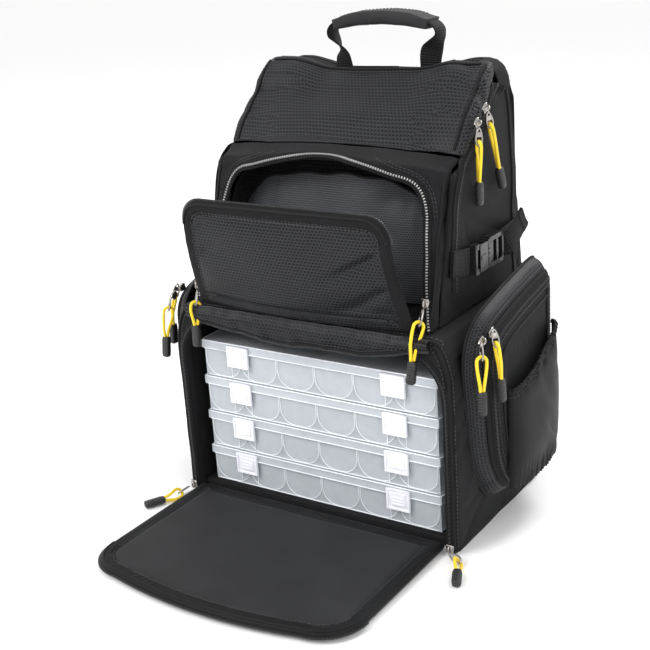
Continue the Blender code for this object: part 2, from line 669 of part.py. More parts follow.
def build_pulls(pull_look):
    """Ten zip pulls, in pairs, each hung from its own slider's eye."""
    across = (1.0, 0.0, 0.0)
    along = (0.0, 1.0, 0.0)
    build_pull("main_1", [(0.1412, -0.0110, 0.3835), (0.1412, -0.0140, 0.3120)], along, pull_look)
    build_pull("main_2", [(0.1412, 0.0080, 0.3945), (0.1412, 0.0365, 0.3180)], along, pull_look)
    for name, side, top in (("pocket_left", -1.0, 0.2300), ("pocket_right", 1.0, 0.2420)):
        y = PANEL_BASE[0] + (top - PANEL_BASE[1]) * math.tan(LEAN) - 0.0008
        path = [(side * 0.1285, y - 0.0045, top - 0.0040), (side * 0.1250, -0.1185, 0.2060)]
        path.append((side * 0.1230, -0.1225, POCKET_PULL_END))
        build_pull(name, path, across, pull_look)
    for name, side in (("left", -1.0), ("right", 1.0)):
        path = [(side * 0.1790, -0.0915, 0.2085), (side * 0.1830, -0.1000, 0.1730)]
        path.append((side * 0.1840, -0.1030, 0.1440))
        build_pull(f"side_{name}_1", path, across, pull_look)
        path = [(side * 0.1830, -0.0745, 0.2165), (side * 0.1905, -0.0790, 0.1850)]
        path.append((side * 0.1925, -0.0790, 0.1500))
        build_pull(f"side_{name}_2", path, along, pull_look)
    floor = [("door_left", -1.0, (0.1580, -0.1470), (0.1730, -0.1740))]
    floor.append(("door_right", 1.0, (0.1680, -0.1270), (0.1850, -0.1640)))
    for name, side, middle, end in floor:
        path = [(side * 0.1560, -0.1215, 0.0060), (side * middle[0], middle[1], 0.0050)]
        path.append((side * end[0], end[1], 0.0046))
        run = Vector(path[2]) - Vector(path[0])
        build_pull(name, path, (run.y, -run.x, 0.0), pull_look)


def main():
    clear_scene()
    woven = material("woven polyester", BLACK, 0.80)
    ripstop = material("coated ripstop", CHARCOAL, 0.55)
    lining = material("smooth lining", LINING, 0.65)
    mesh_look = material("coarse mesh", BLACK, 0.90)
    board = material("stiffening board", CHARCOAL, 0.60)
    webbing = material("webbing", BLACK, 0.85)
    plastic = material("black plastic", BLACK, 0.40)
    frosted = material("frosted polypropylene", FROSTED, 0.35)
    milky = material("milky polypropylene", MILKY, 0.35)
    pull_look = material("pull cord", YELLOW, 0.60)
    build_boxes(frosted, milky)
    build_door(lining)
    build_lower_shell(woven)
    build_floor(woven, board)
    build_back(woven)
    build_front_panel(woven)
    build_pocket(mesh_look, ripstop)
    build_flap(ripstop)
    build_top_panel(ripstop)
    build_rear_shell(woven)
    build_handle(webbing, woven)
    for name, side in (("left", -1.0), ("right", 1.0)):
        build_side(name, side, ripstop, woven, woven)
        build_side_strap(name, side, webbing, plastic)
        build_shoulder_strap(name, side, woven, webbing, plastic)
    build_pulls(pull_look)


main()
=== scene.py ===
"""Tackle backpack: fabric panels, zips, boxes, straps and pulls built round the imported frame."""

import math

import bmesh
import bpy
import numpy as np
from mathutils import Matrix, Vector, noise
from mathutils.bvhtree import BVHTree


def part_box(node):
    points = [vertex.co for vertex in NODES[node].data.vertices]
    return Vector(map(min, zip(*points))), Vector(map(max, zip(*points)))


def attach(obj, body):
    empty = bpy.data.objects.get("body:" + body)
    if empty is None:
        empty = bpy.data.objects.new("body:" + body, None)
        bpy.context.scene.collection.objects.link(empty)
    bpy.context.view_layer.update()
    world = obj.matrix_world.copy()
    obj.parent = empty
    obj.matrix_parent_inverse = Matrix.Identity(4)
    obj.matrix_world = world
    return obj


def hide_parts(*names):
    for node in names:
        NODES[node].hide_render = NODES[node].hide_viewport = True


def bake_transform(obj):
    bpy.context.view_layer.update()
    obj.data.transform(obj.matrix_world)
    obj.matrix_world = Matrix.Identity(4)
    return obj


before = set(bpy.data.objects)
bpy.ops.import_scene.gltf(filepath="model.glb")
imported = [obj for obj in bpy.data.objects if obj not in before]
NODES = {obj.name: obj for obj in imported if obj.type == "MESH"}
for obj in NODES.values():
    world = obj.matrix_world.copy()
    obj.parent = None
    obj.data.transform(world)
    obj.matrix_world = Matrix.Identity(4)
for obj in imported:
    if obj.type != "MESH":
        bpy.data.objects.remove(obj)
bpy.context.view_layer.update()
SIDES = (("left", -1.0), ("right", 1.0))
FRONTWARD = Vector((0.0, -1.0, 0.0))
UP = Vector((0.0, 0.0, 1.0))

# ---- places and sizes, in metres, as the frame has them ----
SHELL_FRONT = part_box("lower_shell")[0].y
PLANE_FOOT = (-0.107, 0.2142)       # y and z of the foot of the upper front's plane
LEAN = math.radians(16.7)   # the upper front leans back
DOOR_HINGE = Vector((0.0, -0.108, 0.006))
# Arches: half width at the base and at the top, base, shoulder, corner radius and crown.
DOOR_ARCH = (0.146, 0.146, 0.002, 0.188, 0.042, 0.012)
POCKET_ARCH = (0.127, 0.116, 0.2205, 0.3435, 0.034, 0.0130)
FLAP_ARCH = (0.1225, 0.1150, 0.0010, 0.1150, 0.024, 0.0010)
FLAP_LEAN = math.radians(11.0)
SIDE_BASE = 0.1605
SIDE_RIM = 0.176
SIDE_COVER = 0.187
BOX_COUNT = 4
BOX_BASE = 0.0108
BOX_PITCH = 0.0397
BOX_HALF = 0.1375
BOX_FRONT = -0.099
LATCH_OFFSET = 0.0908
CHANNELS = 6
STRAP_HEIGHT = 0.264
WEBBING_WIDTH = 0.025
CORD = 0.0031               # pull cord
# The organiser pouch is drawn taller than its CAD solid.
GRIP_LENGTH = 0.022
TAB_LENGTH = 0.017
BACK_FACE = 0.098


# ---- outlines ----
def arc(centre, radius, start, end, steps):
    made = []
    for i in range(steps + 1):
        angle = math.radians(start + (end - start) * i / steps)
        made.append((centre[0] + radius * math.cos(angle), centre[1] + radius * math.sin(angle)))
    return made


def arch(half_base, half_top, base, shoulder, radius, crown, steps=12):
    """Counter-clockwise arch: straight sides, round top corners and a bowed top."""
    right = [(half_base, base)]
    right += arc((half_top - radius, shoulder - radius), radius, 0.0, 90.0, steps)
    reach = half_top - radius
    for i in range(1, steps):
        across = reach * (1.0 - i / steps)
        right.append((across, shoulder + crown * (1.0 - (across / reach) ** 2)))
    left = [(-x, y) for x, y in reversed(right)]
    return right + [(0.0, shoulder + crown)] + left


def offset(outline, distance):
    """A counter-clockwise outline moved outward, with mitred corners."""
    made = []
    for i, here in enumerate(outline):
        before = Vector(here) - Vector(outline[i - 1])
        after = Vector(outline[(i + 1) % len(outline)]) - Vector(here)
        first = Vector((before.y, -before.x)).normalized()
        second = Vector((after.y, -after.x)).normalized()
        mitre = (first + second) / (1.0 + first.dot(second))
        made.append(tuple(Vector(here) + mitre * distance))
    return made


def side_outline():
    """Side view of a zipped side pocket as (y, z)."""
    front = [(-0.052, 0.030), (0.066, 0.030), (0.066, 0.240), (0.058, 0.247)]
    return front + [(-0.020, 0.234), (-0.070, 0.222), (-0.090, 0.205), (-0.096, 0.180), (-0.084, 0.080)]


def rounded(outline, radius, steps=5):
    """The closed outline with each corner replaced by a curve that starts within the radius."""
    made = []
    for i, here in enumerate(outline):
        here = Vector(here)
        before = Vector(outline[i - 1])
        after = Vector(outline[(i + 1) % len(outline)])
        first = here + (before - here) * min(0.45, radius / (before - here).length)
        last = here + (after - here) * min(0.45, radius / (after - here).length)
        for k in range(steps + 1):
            t = k / steps
            made.append(tuple(first * (1 - t) ** 2 + here * 2 * t * (1 - t) + last * t * t))
    return made


def resample(points, step, closed=False):
    """Points spaced evenly along a polyline, ends kept."""
    points = [Vector(p) for p in points]
    if closed:
        points.append(points[0])
    lengths = [0.0]
    for a, b in zip(points, points[1:]):
        lengths.append(lengths[-1] + (b - a).length)
    count = max(2, round(lengths[-1] / step))
    made = []
    at = 0
    for i in range(count + (0 if closed else 1)):
        goal = lengths[-1] * i / count
        while at < len(points) - 2 and lengths[at + 1] < goal:
            at += 1
        span = max(lengths[at + 1] - lengths[at], 1e-9)
        made.append(points[at].lerp(points[at + 1], (goal - lengths[at]) / span))
    return made


def smooth_path(points, step):
    """An even path on a Catmull-Rom curve through a few chosen points."""
    points = [Vector(p) for p in points]
    ends = [points[0] * 2 - points[1]] + points + [points[-1] * 2 - points[-2]]
    dense = []
    for a, b, c, d in zip(ends, ends[1:], ends[2:], ends[3:]):
        for k in range(16):
            t = k / 16
            dense.append(0.5 * (b * 2 + (c - a) * t + (a * 2 - b * 5 + c * 4 - d) * t * t
                                + (b * 3 - a - c * 3 + d) * t ** 3))
    return resample(dense + [points[-1]], step)


def on_front(x, z, depth=0.0):
    """A point on the leaning upper front."""
    return Vector((x, PLANE_FOOT[0] + (z - PLANE_FOOT[1]) * math.tan(LEAN) + depth, z))


def corner_pull(p):
    """How far the upper front's corners round off and drop, most at the seam under the lid."""
    near = ease((abs(p.x) - 0.070) / 0.060)
    behind = p.y - on_front(0.0, p.z).y
    fade = 1.0 - ease((behind - 0.004) / 0.050)
    rise = ease((p.z - 0.235) / 0.080)
    at_seam = ease((p.z - 0.335) / 0.030) * (1.0 - ease((p.z - 0.372) / 0.030))
    drop = 0.0085 * (abs(p.x) / 0.134) ** 2 * at_seam
    side = math.copysign(1.0, p.x)
    return Vector((-0.0060 * side * near, 0.0085 * near, 0.0)) * rise * fade - UP * drop * fade


def pulled(p):
    return p + corner_pull(p)


def ease(t):
    t = min(1.0, max(0.0, t))
    return t * t * (3.0 - 2.0 * t)


def ripple(p, stretch, seed=0.0):
    """Smooth noise from -1 to 1, stretched along the axes."""
    return noise.noise(Vector((p[0] * stretch[0] + seed, p[1] * stretch[1], p[2] * stretch[2])))


def crease(p, stretch, seed=0.0):
    """Sharp-crested folds from 0 to 1."""
    return max(0.0, 1.0 - 3.0 * abs(ripple(p, stretch, seed)))


# ---- materials ----
class Look:
    """A Principled material and the few node steps that its pattern needs."""

    def __init__(self, name, roughness, metallic=0.0, **values):
        self.material = bpy.data.materials.new(name)
        self.material.use_nodes = True
        self.tree = self.material.node_tree
        self.shader = self.tree.nodes["Principled BSDF"]
        self.shader.inputs["Roughness"].default_value = roughness
        self.shader.inputs["Metallic"].default_value = metallic
        for socket, value in values.items():
            self.shader.inputs[socket.replace("_", " ")].default_value = value

    def node(self, kind, links=(), **values):
        made = self.tree.nodes.new(kind)
        for key, value in values.items():
            if key in made.inputs:
                made.inputs[key].default_value = value
            else:
                setattr(made, key, value)
        for source, socket in links:
            self.tree.links.new(source, made.inputs[socket])
        return made

    def cloth(self):
        return self.node("ShaderNodeAttribute", attribute_name="cloth").outputs["Vector"]

    def place(self):
        return self.node("ShaderNodeTexCoord").outputs["Object"]

    def math(self, operation, a, b):
        made = self.node("ShaderNodeMath", operation=operation)
        for value, socket in ((a, 0), (b, 1)):
            if isinstance(value, (int, float)):
                made.inputs[socket].default_value = value
            else:
                self.tree.links.new(value, made.inputs[socket])
        return made.outputs[0]

    def wave(self, where, direction, pitch, distortion=0.0):
        made = self.node("ShaderNodeTexWave", [(where, "Vector")], bands_direction=direction,
                         Scale=math.pi / 10.0 / pitch, Distortion=distortion)
        return made.outputs["Fac"]

    def noise(self, where, size, detail=3.0):
        made = self.node("ShaderNodeTexNoise", [(where, "Vector")], Scale=1.0 / size, Detail=detail)
        return made.outputs["Fac"]

    def ramp(self, fac, low, high, at=(0.0, 1.0)):
        made = self.node("ShaderNodeValToRGB", [(fac, "Fac")])
        for point, place, colour in zip(made.color_ramp.elements, at, (low, high)):
            point.position = place
            point.color = (*colour, 1.0)
        return made.outputs["Color"]

    def colour(self, output):
        self.tree.links.new(output, self.shader.inputs["Base Color"])

    def bump(self, height, depth):
        made = self.node("ShaderNodeBump", [(height, "Height")], Distance=depth, Strength=1.0)
        self.tree.links.new(made.outputs["Normal"], self.shader.inputs["Normal"])

    def rough(self, fac, low, high):
        made = self.node("ShaderNodeMapRange", [(fac, "Value")])
        made.inputs["To Min"].default_value = low
        made.inputs["To Max"].default_value = high
        self.tree.links.new(made.outputs["Result"], self.shader.inputs["Roughness"])


def tint(colour, scale):
    return tuple(c * scale for c in colour)


def plain_weave(name, colour, pitch, roughness, depth=0.00012, weave_shading=0.35):
    """Threads that pass over and under in turn, painted lighter on their crests and darker in the dips as
    painted light and shade, with faded and dusty patches.
    """
    look = Look(name, roughness, Sheen_Weight=0.02, Sheen_Roughness=0.5, Specular_IOR_Level=0.12)
    cloth = look.cloth()
    warp = look.wave(cloth, "X", pitch)
    weft = look.wave(cloth, "Y", pitch)
    over = look.node("ShaderNodeTexChecker", [(cloth, "Vector")], Scale=1.0 / pitch).outputs["Fac"]
    under = look.math("SUBTRACT", 1.0, over)
    height = look.math("ADD", look.math("MULTIPLY", warp, over), look.math("MULTIPLY", weft, under))
    patch = look.noise(look.place(), 0.035)
    slub = look.noise(look.place(), 0.0022, 2.0)
    mottle = look.math("ADD", look.math("MULTIPLY", patch, 0.3), look.math("MULTIPLY", slub, 0.45))
    # thread height sets the colour as well as the bump: painted highlight on the crests, painted shade in the
    # dips; the mottle is real fading and dust
    shade = look.math("ADD", look.math("MULTIPLY", height, weave_shading), mottle)
    look.colour(look.ramp(shade, tint(colour, 0.30), tint(colour, 2.6), (0.20, 0.90)))
    look.bump(height, depth)
    look.rough(patch, roughness - 0.08, roughness + 0.08)
    return look.material


def ripstop(name, colour, cell, roughness, lines=3.9):
    """Coated cloth with a raised grid of staggered cells, its grid lines painted lighter as a painted sheen,
    and random patches of tone.
    """
    look = Look(name, roughness, Specular_IOR_Level=0.20)
    cloth = look.cloth()
    grid = look.node("ShaderNodeTexBrick", [(cloth, "Vector")], offset=0.5, Scale=1.0 / cell)
    grid.inputs["Mortar Size"].default_value = 0.19
    grid.inputs["Mortar Smooth"].default_value = 0.6
    grid.inputs["Brick Width"].default_value = 1.0
    grid.inputs["Row Height"].default_value = 0.8
    line = grid.outputs["Fac"]
    patch = look.noise(look.place(), 0.03)
    shade = look.math("ADD", look.math("MULTIPLY", line, 0.75), look.math("MULTIPLY", patch, 0.25))
    # the lighter grid lines are a painted sheen on the raised grid; the patches are real tone
    look.colour(look.ramp(shade, tint(colour, 0.30), tint(colour, lines), (0.10, 0.95)))
    look.bump(line, 0.00030)
    look.rough(patch, roughness - 0.10, roughness + 0.08)
    return look.material


def webbing_weave(name, colour):
    """Thick ribs across a strap, broken into columns, painted lighter on their crests and darker in the
    hollows as painted light and shade.
    """
    look = Look(name, 0.72, Sheen_Weight=0.03, Specular_IOR_Level=0.16)
    cloth = look.cloth()
    ribs = look.wave(cloth, "Y", 0.0024, 0.6)
    columns = look.wave(cloth, "X", 0.0036)
    height = look.math("ADD", look.math("MULTIPLY", ribs, 0.7), look.math("MULTIPLY", columns, 0.3))
    # rib height sets the colour: painted highlight on the crests, painted shade in the hollows
    look.colour(look.ramp(height, tint(colour, 0.4), tint(colour, 2.2), (0.1, 0.9)))
    look.bump(height, 0.0004)
    return look.material


def open_mesh(name, colour):
    """Knitted spacer mesh with small holes painted dark: painted shade inside the holes."""
    look = Look(name, 0.9, Specular_IOR_Level=0.15)
    holes = look.node("ShaderNodeTexVoronoi", [(look.cloth(), "Vector")], Scale=1.0 / 0.0032)
    holes.inputs["Randomness"].default_value = 0.25
    far = holes.outputs["Distance"]
    # darker near each Voronoi point: painted shade in the holes
    look.colour(look.ramp(far, tint(colour, 0.3), tint(colour, 2.2), (0.15, 0.6)))
    look.bump(far, 0.0005)
    return look.material


def smooth_cloth(name, colour, roughness):
    """Fine dense cloth with soft mottling and dust, its fine diagonal ridges painted a little lighter as
    painted light.
    """
    look = Look(name, roughness, Sheen_Weight=0.03, Sheen_Roughness=0.4, Specular_IOR_Level=0.18)
    place = look.place()
    fine = look.wave(look.cloth(), "DIAGONAL", 0.0011, 0.8)
    patch = look.noise(place, 0.04)
    # the fine ridges feed the colour as well as the bump: painted light; the patches are real mottling and
    # dust
    shade = look.math("ADD", look.math("MULTIPLY", fine, 0.2), look.math("MULTIPLY", patch, 0.8))
    look.colour(look.ramp(shade, tint(colour, 0.7), tint(colour, 1.35), (0.2, 0.85)))
    look.bump(look.math("ADD", fine, look.noise(place, 0.006)), 0.00008)
    return look.material


def moulded(name, colour, roughness, alpha=1.0, grain=0.0012, relief=0.00004):
    """Moulded plastic: fine grain, and edges rubbed a little lighter."""
    look = Look(name, roughness, Alpha=alpha)
    place = look.place()
    worn = look.node("ShaderNodeNewGeometry").outputs["Pointiness"]
    edge = look.ramp(worn, (0.0, 0.0, 0.0), (1.0, 1.0, 1.0), (0.48, 0.60))
    cloud = look.math("MULTIPLY", look.noise(place, 0.01), 0.5)
    mixed = look.math("ADD", look.math("MULTIPLY", edge, 0.5), cloud)
    look.colour(look.ramp(mixed, tint(colour, 0.85), tint(colour, 1.25), (0.1, 0.9)))
    look.rough(look.noise(place, 0.004), roughness - 0.06, roughness + 0.08)
    look.bump(look.noise(place, grain), relief)
    return look.material


def metal(name, colour, roughness):
    look = Look(name, roughness, 1.0)
    scratch = look.noise(look.place(), 0.0015)
    look.colour(look.ramp(scratch, tint(colour, 0.75), tint(colour, 1.1)))
    look.rough(scratch, roughness - 0.06, roughness + 0.12)
    look.bump(scratch, 0.00003)
    return look.material


def braid(name, colour):
    """Round braided cord, with painted shade in the gaps between its strands."""
    look = Look(name, 0.55, Sheen_Weight=0.2)
    place = look.place()
    strands = look.wave(place, "DIAGONAL", 0.0011, 1.5)
    # strand height sets the colour: painted shade in the gaps
    look.colour(look.ramp(strands, tint(colour, 0.72), tint(colour, 1.05), (0.0, 0.6)))
    look.bump(strands, 0.00015)
    return look.material


BLACK = (0.0072, 0.0073, 0.0080)
CHARCOAL = (0.0068, 0.0070, 0.0080)
GREY = (0.0215, 0.0215, 0.0230)
# WOVEN and BORDER: thread crests painted lighter and dips darker, as painted light and shade
WOVEN = plain_weave("woven polyester", BLACK, 0.0013, 0.72)
BORDER = plain_weave("border weave", tint(BLACK, 0.9), 0.0011, 0.75)
# RIPSTOP and POUCH: their lighter grid lines are a painted sheen
RIPSTOP = ripstop("coated ripstop", CHARCOAL, 0.0039, 0.44)
POUCH = ripstop("pouch ripstop", tint(CHARCOAL, 8.0), 0.0026, 0.50, 1.5)
# LINING, BINDING and STRETCH: their fine ridges are painted a little lighter, as painted light
LINING = smooth_cloth("smooth lining", GREY, 0.62)
BINDING = smooth_cloth("binding tape", tint(BLACK, 0.9), 0.6)
STRETCH = smooth_cloth("stretch cloth", tint(BLACK, 0.95), 0.55)
# MESH: its dark holes are painted shade
MESH = open_mesh("coarse mesh", tint(BLACK, 1.0))
# WEBBING: its rib crests and hollows carry painted light and shade
WEBBING = webbing_weave("ribbed webbing", tint(BLACK, 1.1))
# THREAD: painted shade between its strands
THREAD = braid("sewing thread", (0.022, 0.022, 0.024))
COIL = moulded("zip coil", (0.020, 0.020, 0.021), 0.35)
PALE_COIL = moulded("worn zip coil", (0.42, 0.42, 0.41), 0.35)
PLASTIC = moulded("black acetal", (0.010, 0.010, 0.011), 0.26)
RUBBER = moulded("stippled rubber", (0.012, 0.012, 0.013), 0.42, 1.0, 0.0016, 0.0006)
FROSTED = moulded("frosted polypropylene", (0.66, 0.70, 0.74), 0.30, 0.50)
# The box rims, foot, channel walls and latch ribs are real edges; the near-white colour of these tubes is a
# painted highlight on the frosted plastic's edges.
EDGE_HIGHLIGHT = moulded("moulded edge with painted highlight", (0.86, 0.89, 0.92), 0.26, 0.78)
MILKY = moulded("milky polypropylene", (0.80, 0.81, 0.86), 0.3, 0.92)
NICKEL = metal("nickel", (0.40, 0.38, 0.36), 0.20)
# YELLOW: painted shade between its strands
YELLOW = braid("yellow cord", (0.95, 0.68, 0.010))


# ---- mesh building ----
def add_mesh(name, mesh, looks, body):
    """Link a finished mesh as a piece that rides on a body; given the two bodies of a joint instead, it is
    left fixed where it was built.
    """
    for look in looks:
        mesh.materials.append(look)
    thing = bpy.data.objects.new(name, mesh)
    bpy.context.scene.collection.objects.link(thing)
    if isinstance(body, str):
        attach(thing, body)
    else:
        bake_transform(thing)
    return thing


class Build:
    """Gathers the points, faces and cloth coordinates of one piece."""

    def __init__(self):
        self.points = []
        self.cloth = []
        self.faces = []
        self.looks = []

    def skin(self, rings, cloth=None, look=0, cap=True, closed=False):
        """Join equal closed rings of points in order."""
        start = len(self.points)
        size = len(rings[0])
        for k, ring in enumerate(rings):
            for i, point in enumerate(ring):
                self.points.append(tuple(point))
                self.cloth.append(cloth[k][i] if cloth else (point[0] + point[1], point[2] + point[1]))
        pairs = [(k, k + 1) for k in range(len(rings) - 1)]
        if closed:
            pairs.append((len(rings) - 1, 0))
        for low, high in pairs:
            for i in range(size):
                j = (i + 1) % size
                a, b = start + low * size, start + high * size
                self.add_face((a + i, a + j, b + j, b + i), look)
        if cap and not closed:
            self.add_face(tuple(start + i for i in reversed(range(size))), look)
            last = start + (len(rings) - 1) * size
            self.add_face(tuple(last + i for i in range(size)), look)

    def add_face(self, corners, look=0):
        self.faces.append(corners)
        self.looks.append(look)

    def strip(self, points, normals, width, thickness, look=0, rim=0.25):
        """A flat strip with softly rounded edges along a path."""
        rings = []
        cloth = []
        run = 0.0
        for i, here in enumerate(points):
            ahead = points[min(i + 1, len(points) - 1)]
            behind = points[max(i - 1, 0)]
            run += (here - behind).length
            out = normals[i] if isinstance(normals, list) else normals
            along = (ahead - behind).normalized()
            wide = along.cross(out).normalized()
            out = wide.cross(along)
            w = (width[i] if isinstance(width, list) else width) / 2.0
            t = thickness / 2.0
            cut = min(w * rim, t)
            section = [(-w, -t * 0.3), (-w + cut, -t), (w - cut, -t), (w, -t * 0.3)]
            section += [(w, t * 0.3), (w - cut, t), (0.0, t * 1.1), (-w + cut, t), (-w, t * 0.3)]
            rings.append([here + wide * a + out * b for a, b in section])
            cloth.append([(a, run) for a, b in section])
        self.skin(rings, cloth, look)

    def tube(self, points, radius, sides=8, look=0, closed=False):
        """A round tube along a path."""
        rings = []
        cloth = []
        run = 0.0
        count = len(points)
        side = None
        for i, here in enumerate(points):
            ahead = points[(i + 1) % count] if closed else points[min(i + 1, count - 1)]
            behind = points[i - 1] if closed or i else points[0]
            along = (ahead - behind).normalized()
            if side is None:
                side = along.orthogonal().normalized()
            side = (side - along * side.dot(along)).normalized()
            up = along.cross(side)
            r = radius[i] if isinstance(radius, list) else radius
            run += (here - behind).length if i else 0.0
            turn = [2.0 * math.pi * k / sides for k in range(sides)]
            rings.append([here + side * r * math.cos(a) + up * r * math.sin(a) for a in turn])
            cloth.append([(a * r, run) for a in turn])
        self.skin(rings, cloth, look, closed=closed)

    def block(self, centre, axes, size, look=0, bevel=0.25):
        """A small block with bevelled ends; axes are along, across and out."""
        along, across, out = axes
        rings = []
        for t, shrink in ((-1.0, 1.0 - bevel), (-0.6, 1.0), (0.6, 1.0), (1.0, 1.0 - bevel)):
            ring = []
            for a, b in ((-1, -1), (1, -1), (1, 1), (-1, 1)):
                step = across * (size[1] / 2 * a * shrink) + out * (size[2] / 2 * b * shrink)
                ring.append(centre + along * (size[0] / 2 * t) + step)
            rings.append(ring)
        self.skin(rings, None, look)

    def piece(self, name, looks, body, slot, sharp=50.0):
        mesh = bpy.data.meshes.new(name)
        mesh.from_pydata(self.points, [], self.faces)
        mesh.polygons.foreach_set("material_index", self.looks)
        layer = mesh.attributes.new("cloth", "FLOAT_VECTOR", "POINT")
        flat = [value for u, v in self.cloth for value in (u, v, 0.0)]
        layer.data.foreach_set("vector", flat)
        fix_normals(mesh)
        mesh.shade_smooth()
        mesh.set_sharp_from_angle(angle=math.radians(sharp))
        return add_mesh(name, mesh, looks, body)


def fix_normals(mesh):
    work = bmesh.new()
    work.from_mesh(mesh)
    bmesh.ops.recalc_face_normals(work, faces=work.faces)
    work.to_mesh(mesh)
    work.free()


def box_cloth(mesh):
    """Cloth coordinates for a mesh of any shape, from the axis that each face looks along."""
    layer = mesh.attributes.new("cloth", "FLOAT_VECTOR", "CORNER")
    for face in mesh.polygons:
        n = [abs(a) for a in face.normal]
        keep = {0: (1, 2), 1: (0, 2), 2: (0, 1)}[n.index(max(n))]
        for corner in face.loop_indices:
            p = mesh.vertices[mesh.loops[corner].vertex_index].co
            layer.data[corner].vector = (p[keep[0]], p[keep[1]], 0.0)


def soft_mesh(node, voxel, relax, shape=None, puff=None):
    """The solid of a soft CAD node as a fine even mesh with rounded edges and its own folds."""
    mesh = NODES[node].data.copy()
    mesh.materials.clear()
    work = bmesh.new()
    work.from_mesh(mesh)
    bmesh.ops.remove_doubles(work, verts=work.verts, dist=0.00002)
    work.to_mesh(mesh)
    work.free()
    thing = bpy.data.objects.new("soft", mesh)
    bpy.context.scene.collection.objects.link(thing)
    even = thing.modifiers.new("Even", "REMESH")
    even.mode = "VOXEL"
    even.voxel_size = voxel
    ease_out = thing.modifiers.new("Relax", "SMOOTH")
    ease_out.iterations = relax
    fresh = evaluated(thing)
    if puff:
        fresh = inflate(fresh, *puff)
    if shape:
        normals = [v.normal.copy() for v in fresh.vertices]
        for vertex, normal in zip(fresh.vertices, normals):
            vertex.co += shape(vertex.co, normal)
    box_cloth(fresh)
    fresh.shade_smooth()
    return fresh


def evaluated(thing):
    """The object's evaluated mesh as a new mesh; the object is removed."""
    bpy.context.view_layer.update()
    graph = bpy.context.evaluated_depsgraph_get()
    fresh = bpy.data.meshes.new_from_object(thing.evaluated_get(graph))
    bpy.data.objects.remove(thing)
    return fresh


def inflate(mesh, pressure, cap, frames=16):
    """Fill a closed soft mesh by cloth simulation, each point moving at most the cap."""
    thing = bpy.data.objects.new("inflating", mesh)
    bpy.context.scene.collection.objects.link(thing)
    cloth = thing.modifiers.new("Cloth", "CLOTH")
    settings = cloth.settings
    settings.use_pressure = True
    settings.uniform_pressure_force = pressure
    settings.effector_weights.gravity = 0.0
    settings.quality = 4
    settings.tension_stiffness = 30.0
    settings.compression_stiffness = 12.0
    settings.shear_stiffness = 8.0
    cloth.point_cache.frame_start = 1
    cloth.point_cache.frame_end = frames
    scene = bpy.context.scene
    for number in range(1, frames + 1):
        scene.frame_set(number)
    graph = bpy.context.evaluated_depsgraph_get()
    full = bpy.data.meshes.new_from_object(thing.evaluated_get(graph))
    for old, new in zip(mesh.vertices, full.vertices):
        move = new.co - old.co
        if move.length > cap:
            new.co = old.co + move * (cap / move.length)
    bpy.data.objects.remove(thing)
    scene.frame_set(1)
    full.update()
    return full


class Skin:
    """Lays paths on the surface of a piece."""

    def __init__(self, thing):
        work = bmesh.new()
        work.from_mesh(thing.data)
        self.tree = BVHTree.FromBMesh(work)
        work.free()

    def lay(self, points, toward, lift=0.0, reach=0.03):
        """The points moved along a direction onto the surface, and the surface's normals there."""
        toward = Vector(toward).normalized()
        laid = []
        normals = []
        for point in points:
            point = Vector(point)
            spot, normal, _, _ = self.tree.ray_cast(point - toward * reach, toward, 3.0 * reach)
            if spot is None:
                spot, normal, _, _ = self.tree.find_nearest(point)
            if normal.dot(toward) > 0.0:
                normal = -normal
            laid.append(spot + normal * lift)
            normals.append(normal)
        for _ in range(3):
            normals = [(normals[max(i - 1, 0)] + n * 2 + normals[min(i + 1, len(normals) - 1)]).normalized()
                       for i, n in enumerate(normals)]
            laid = [laid[0]] + [(a + b * 2 + c) / 4 for a, b, c in zip(laid, laid[1:], laid[2:])] + [laid[-1]]
        return laid, normals


STITCH = 0.0030
STITCH_GAP = 0.0012


def stitch_row(build, points, normals, across=0.0, look=0):
    """Short raised threads along a laid path, moved sideways by a distance."""
    spots = []
    for i, here in enumerate(points):
        along = (points[min(i + 1, len(points) - 1)] - points[max(i - 1, 0)]).normalized()
        spots.append(here + along.cross(normals[i]).normalized() * across + normals[i] * 0.0002)
    ends = resample(spots, STITCH + STITCH_GAP)
    for k in range(len(ends) - 1):
        a = ends[k]
        b = ends[k].lerp(ends[k + 1], STITCH / (STITCH + STITCH_GAP))
        near = min(len(normals) - 1, round(k / max(1, len(ends) - 1) * (len(normals) - 1)))
        out = normals[near]
        along = (b - a).normalized()
        side = along.cross(out).normalized()
        rings = []
        for t, r in ((0.0, 0.0001), (0.2, 0.00038), (0.8, 0.00038), (1.0, 0.0001)):
            spot = a.lerp(b, t)
            rings.append([spot + side * r * c + out * r * s for c, s in ((1, 0), (0, 1), (-1, 0), (0, -1))])
        build.skin(rings, None, look)


def zip_run(name, body, points, normals, width, pale=False, rows=(-1, 1), tape_look=BORDER):
    """A zip on a laid path: woven tape, coil teeth and a row of stitches along each edge."""
    build = Build()
    build.strip(points, normals, width, 0.0011, 0)
    for side in rows:
        stitch_row(build, points, normals, side * (width / 2 - 0.0016) , 1)
    teeth = resample(points, 0.00135 if pale else 0.0021)
    for k, spot in enumerate(teeth[:-1]):
        near = min(len(normals) - 1, round(k / (len(teeth) - 1) * (len(normals) - 1)))
        out = normals[near]
        along = (teeth[k + 1] - spot).normalized()
        across = along.cross(out).normalized()
        shift = across * (0.0006 if k % 2 else -0.0006)
        middle = spot + out * 0.0009 + shift * 0.5
        build.block(middle, (across, along, out), (0.0021, 0.0010, 0.0011), 2 + k % 2)
    coils = [COIL, PALE_COIL if pale else COIL]
    return build.piece(name, [tape_look, THREAD] + coils, body, "woven")


def seam(name, body, points, normals, radius=0.0013, rows=(0.0035,), look=BINDING):
    """A piped seam with stitch rows beside it."""
    build = Build()
    build.tube([p + n * radius * 0.4 for p, n in zip(points, normals)], radius, 8, 0)
    for across in rows:
        stitch_row(build, points, normals, across, 1)
    return build.piece(name, [look, THREAD], body, "woven")


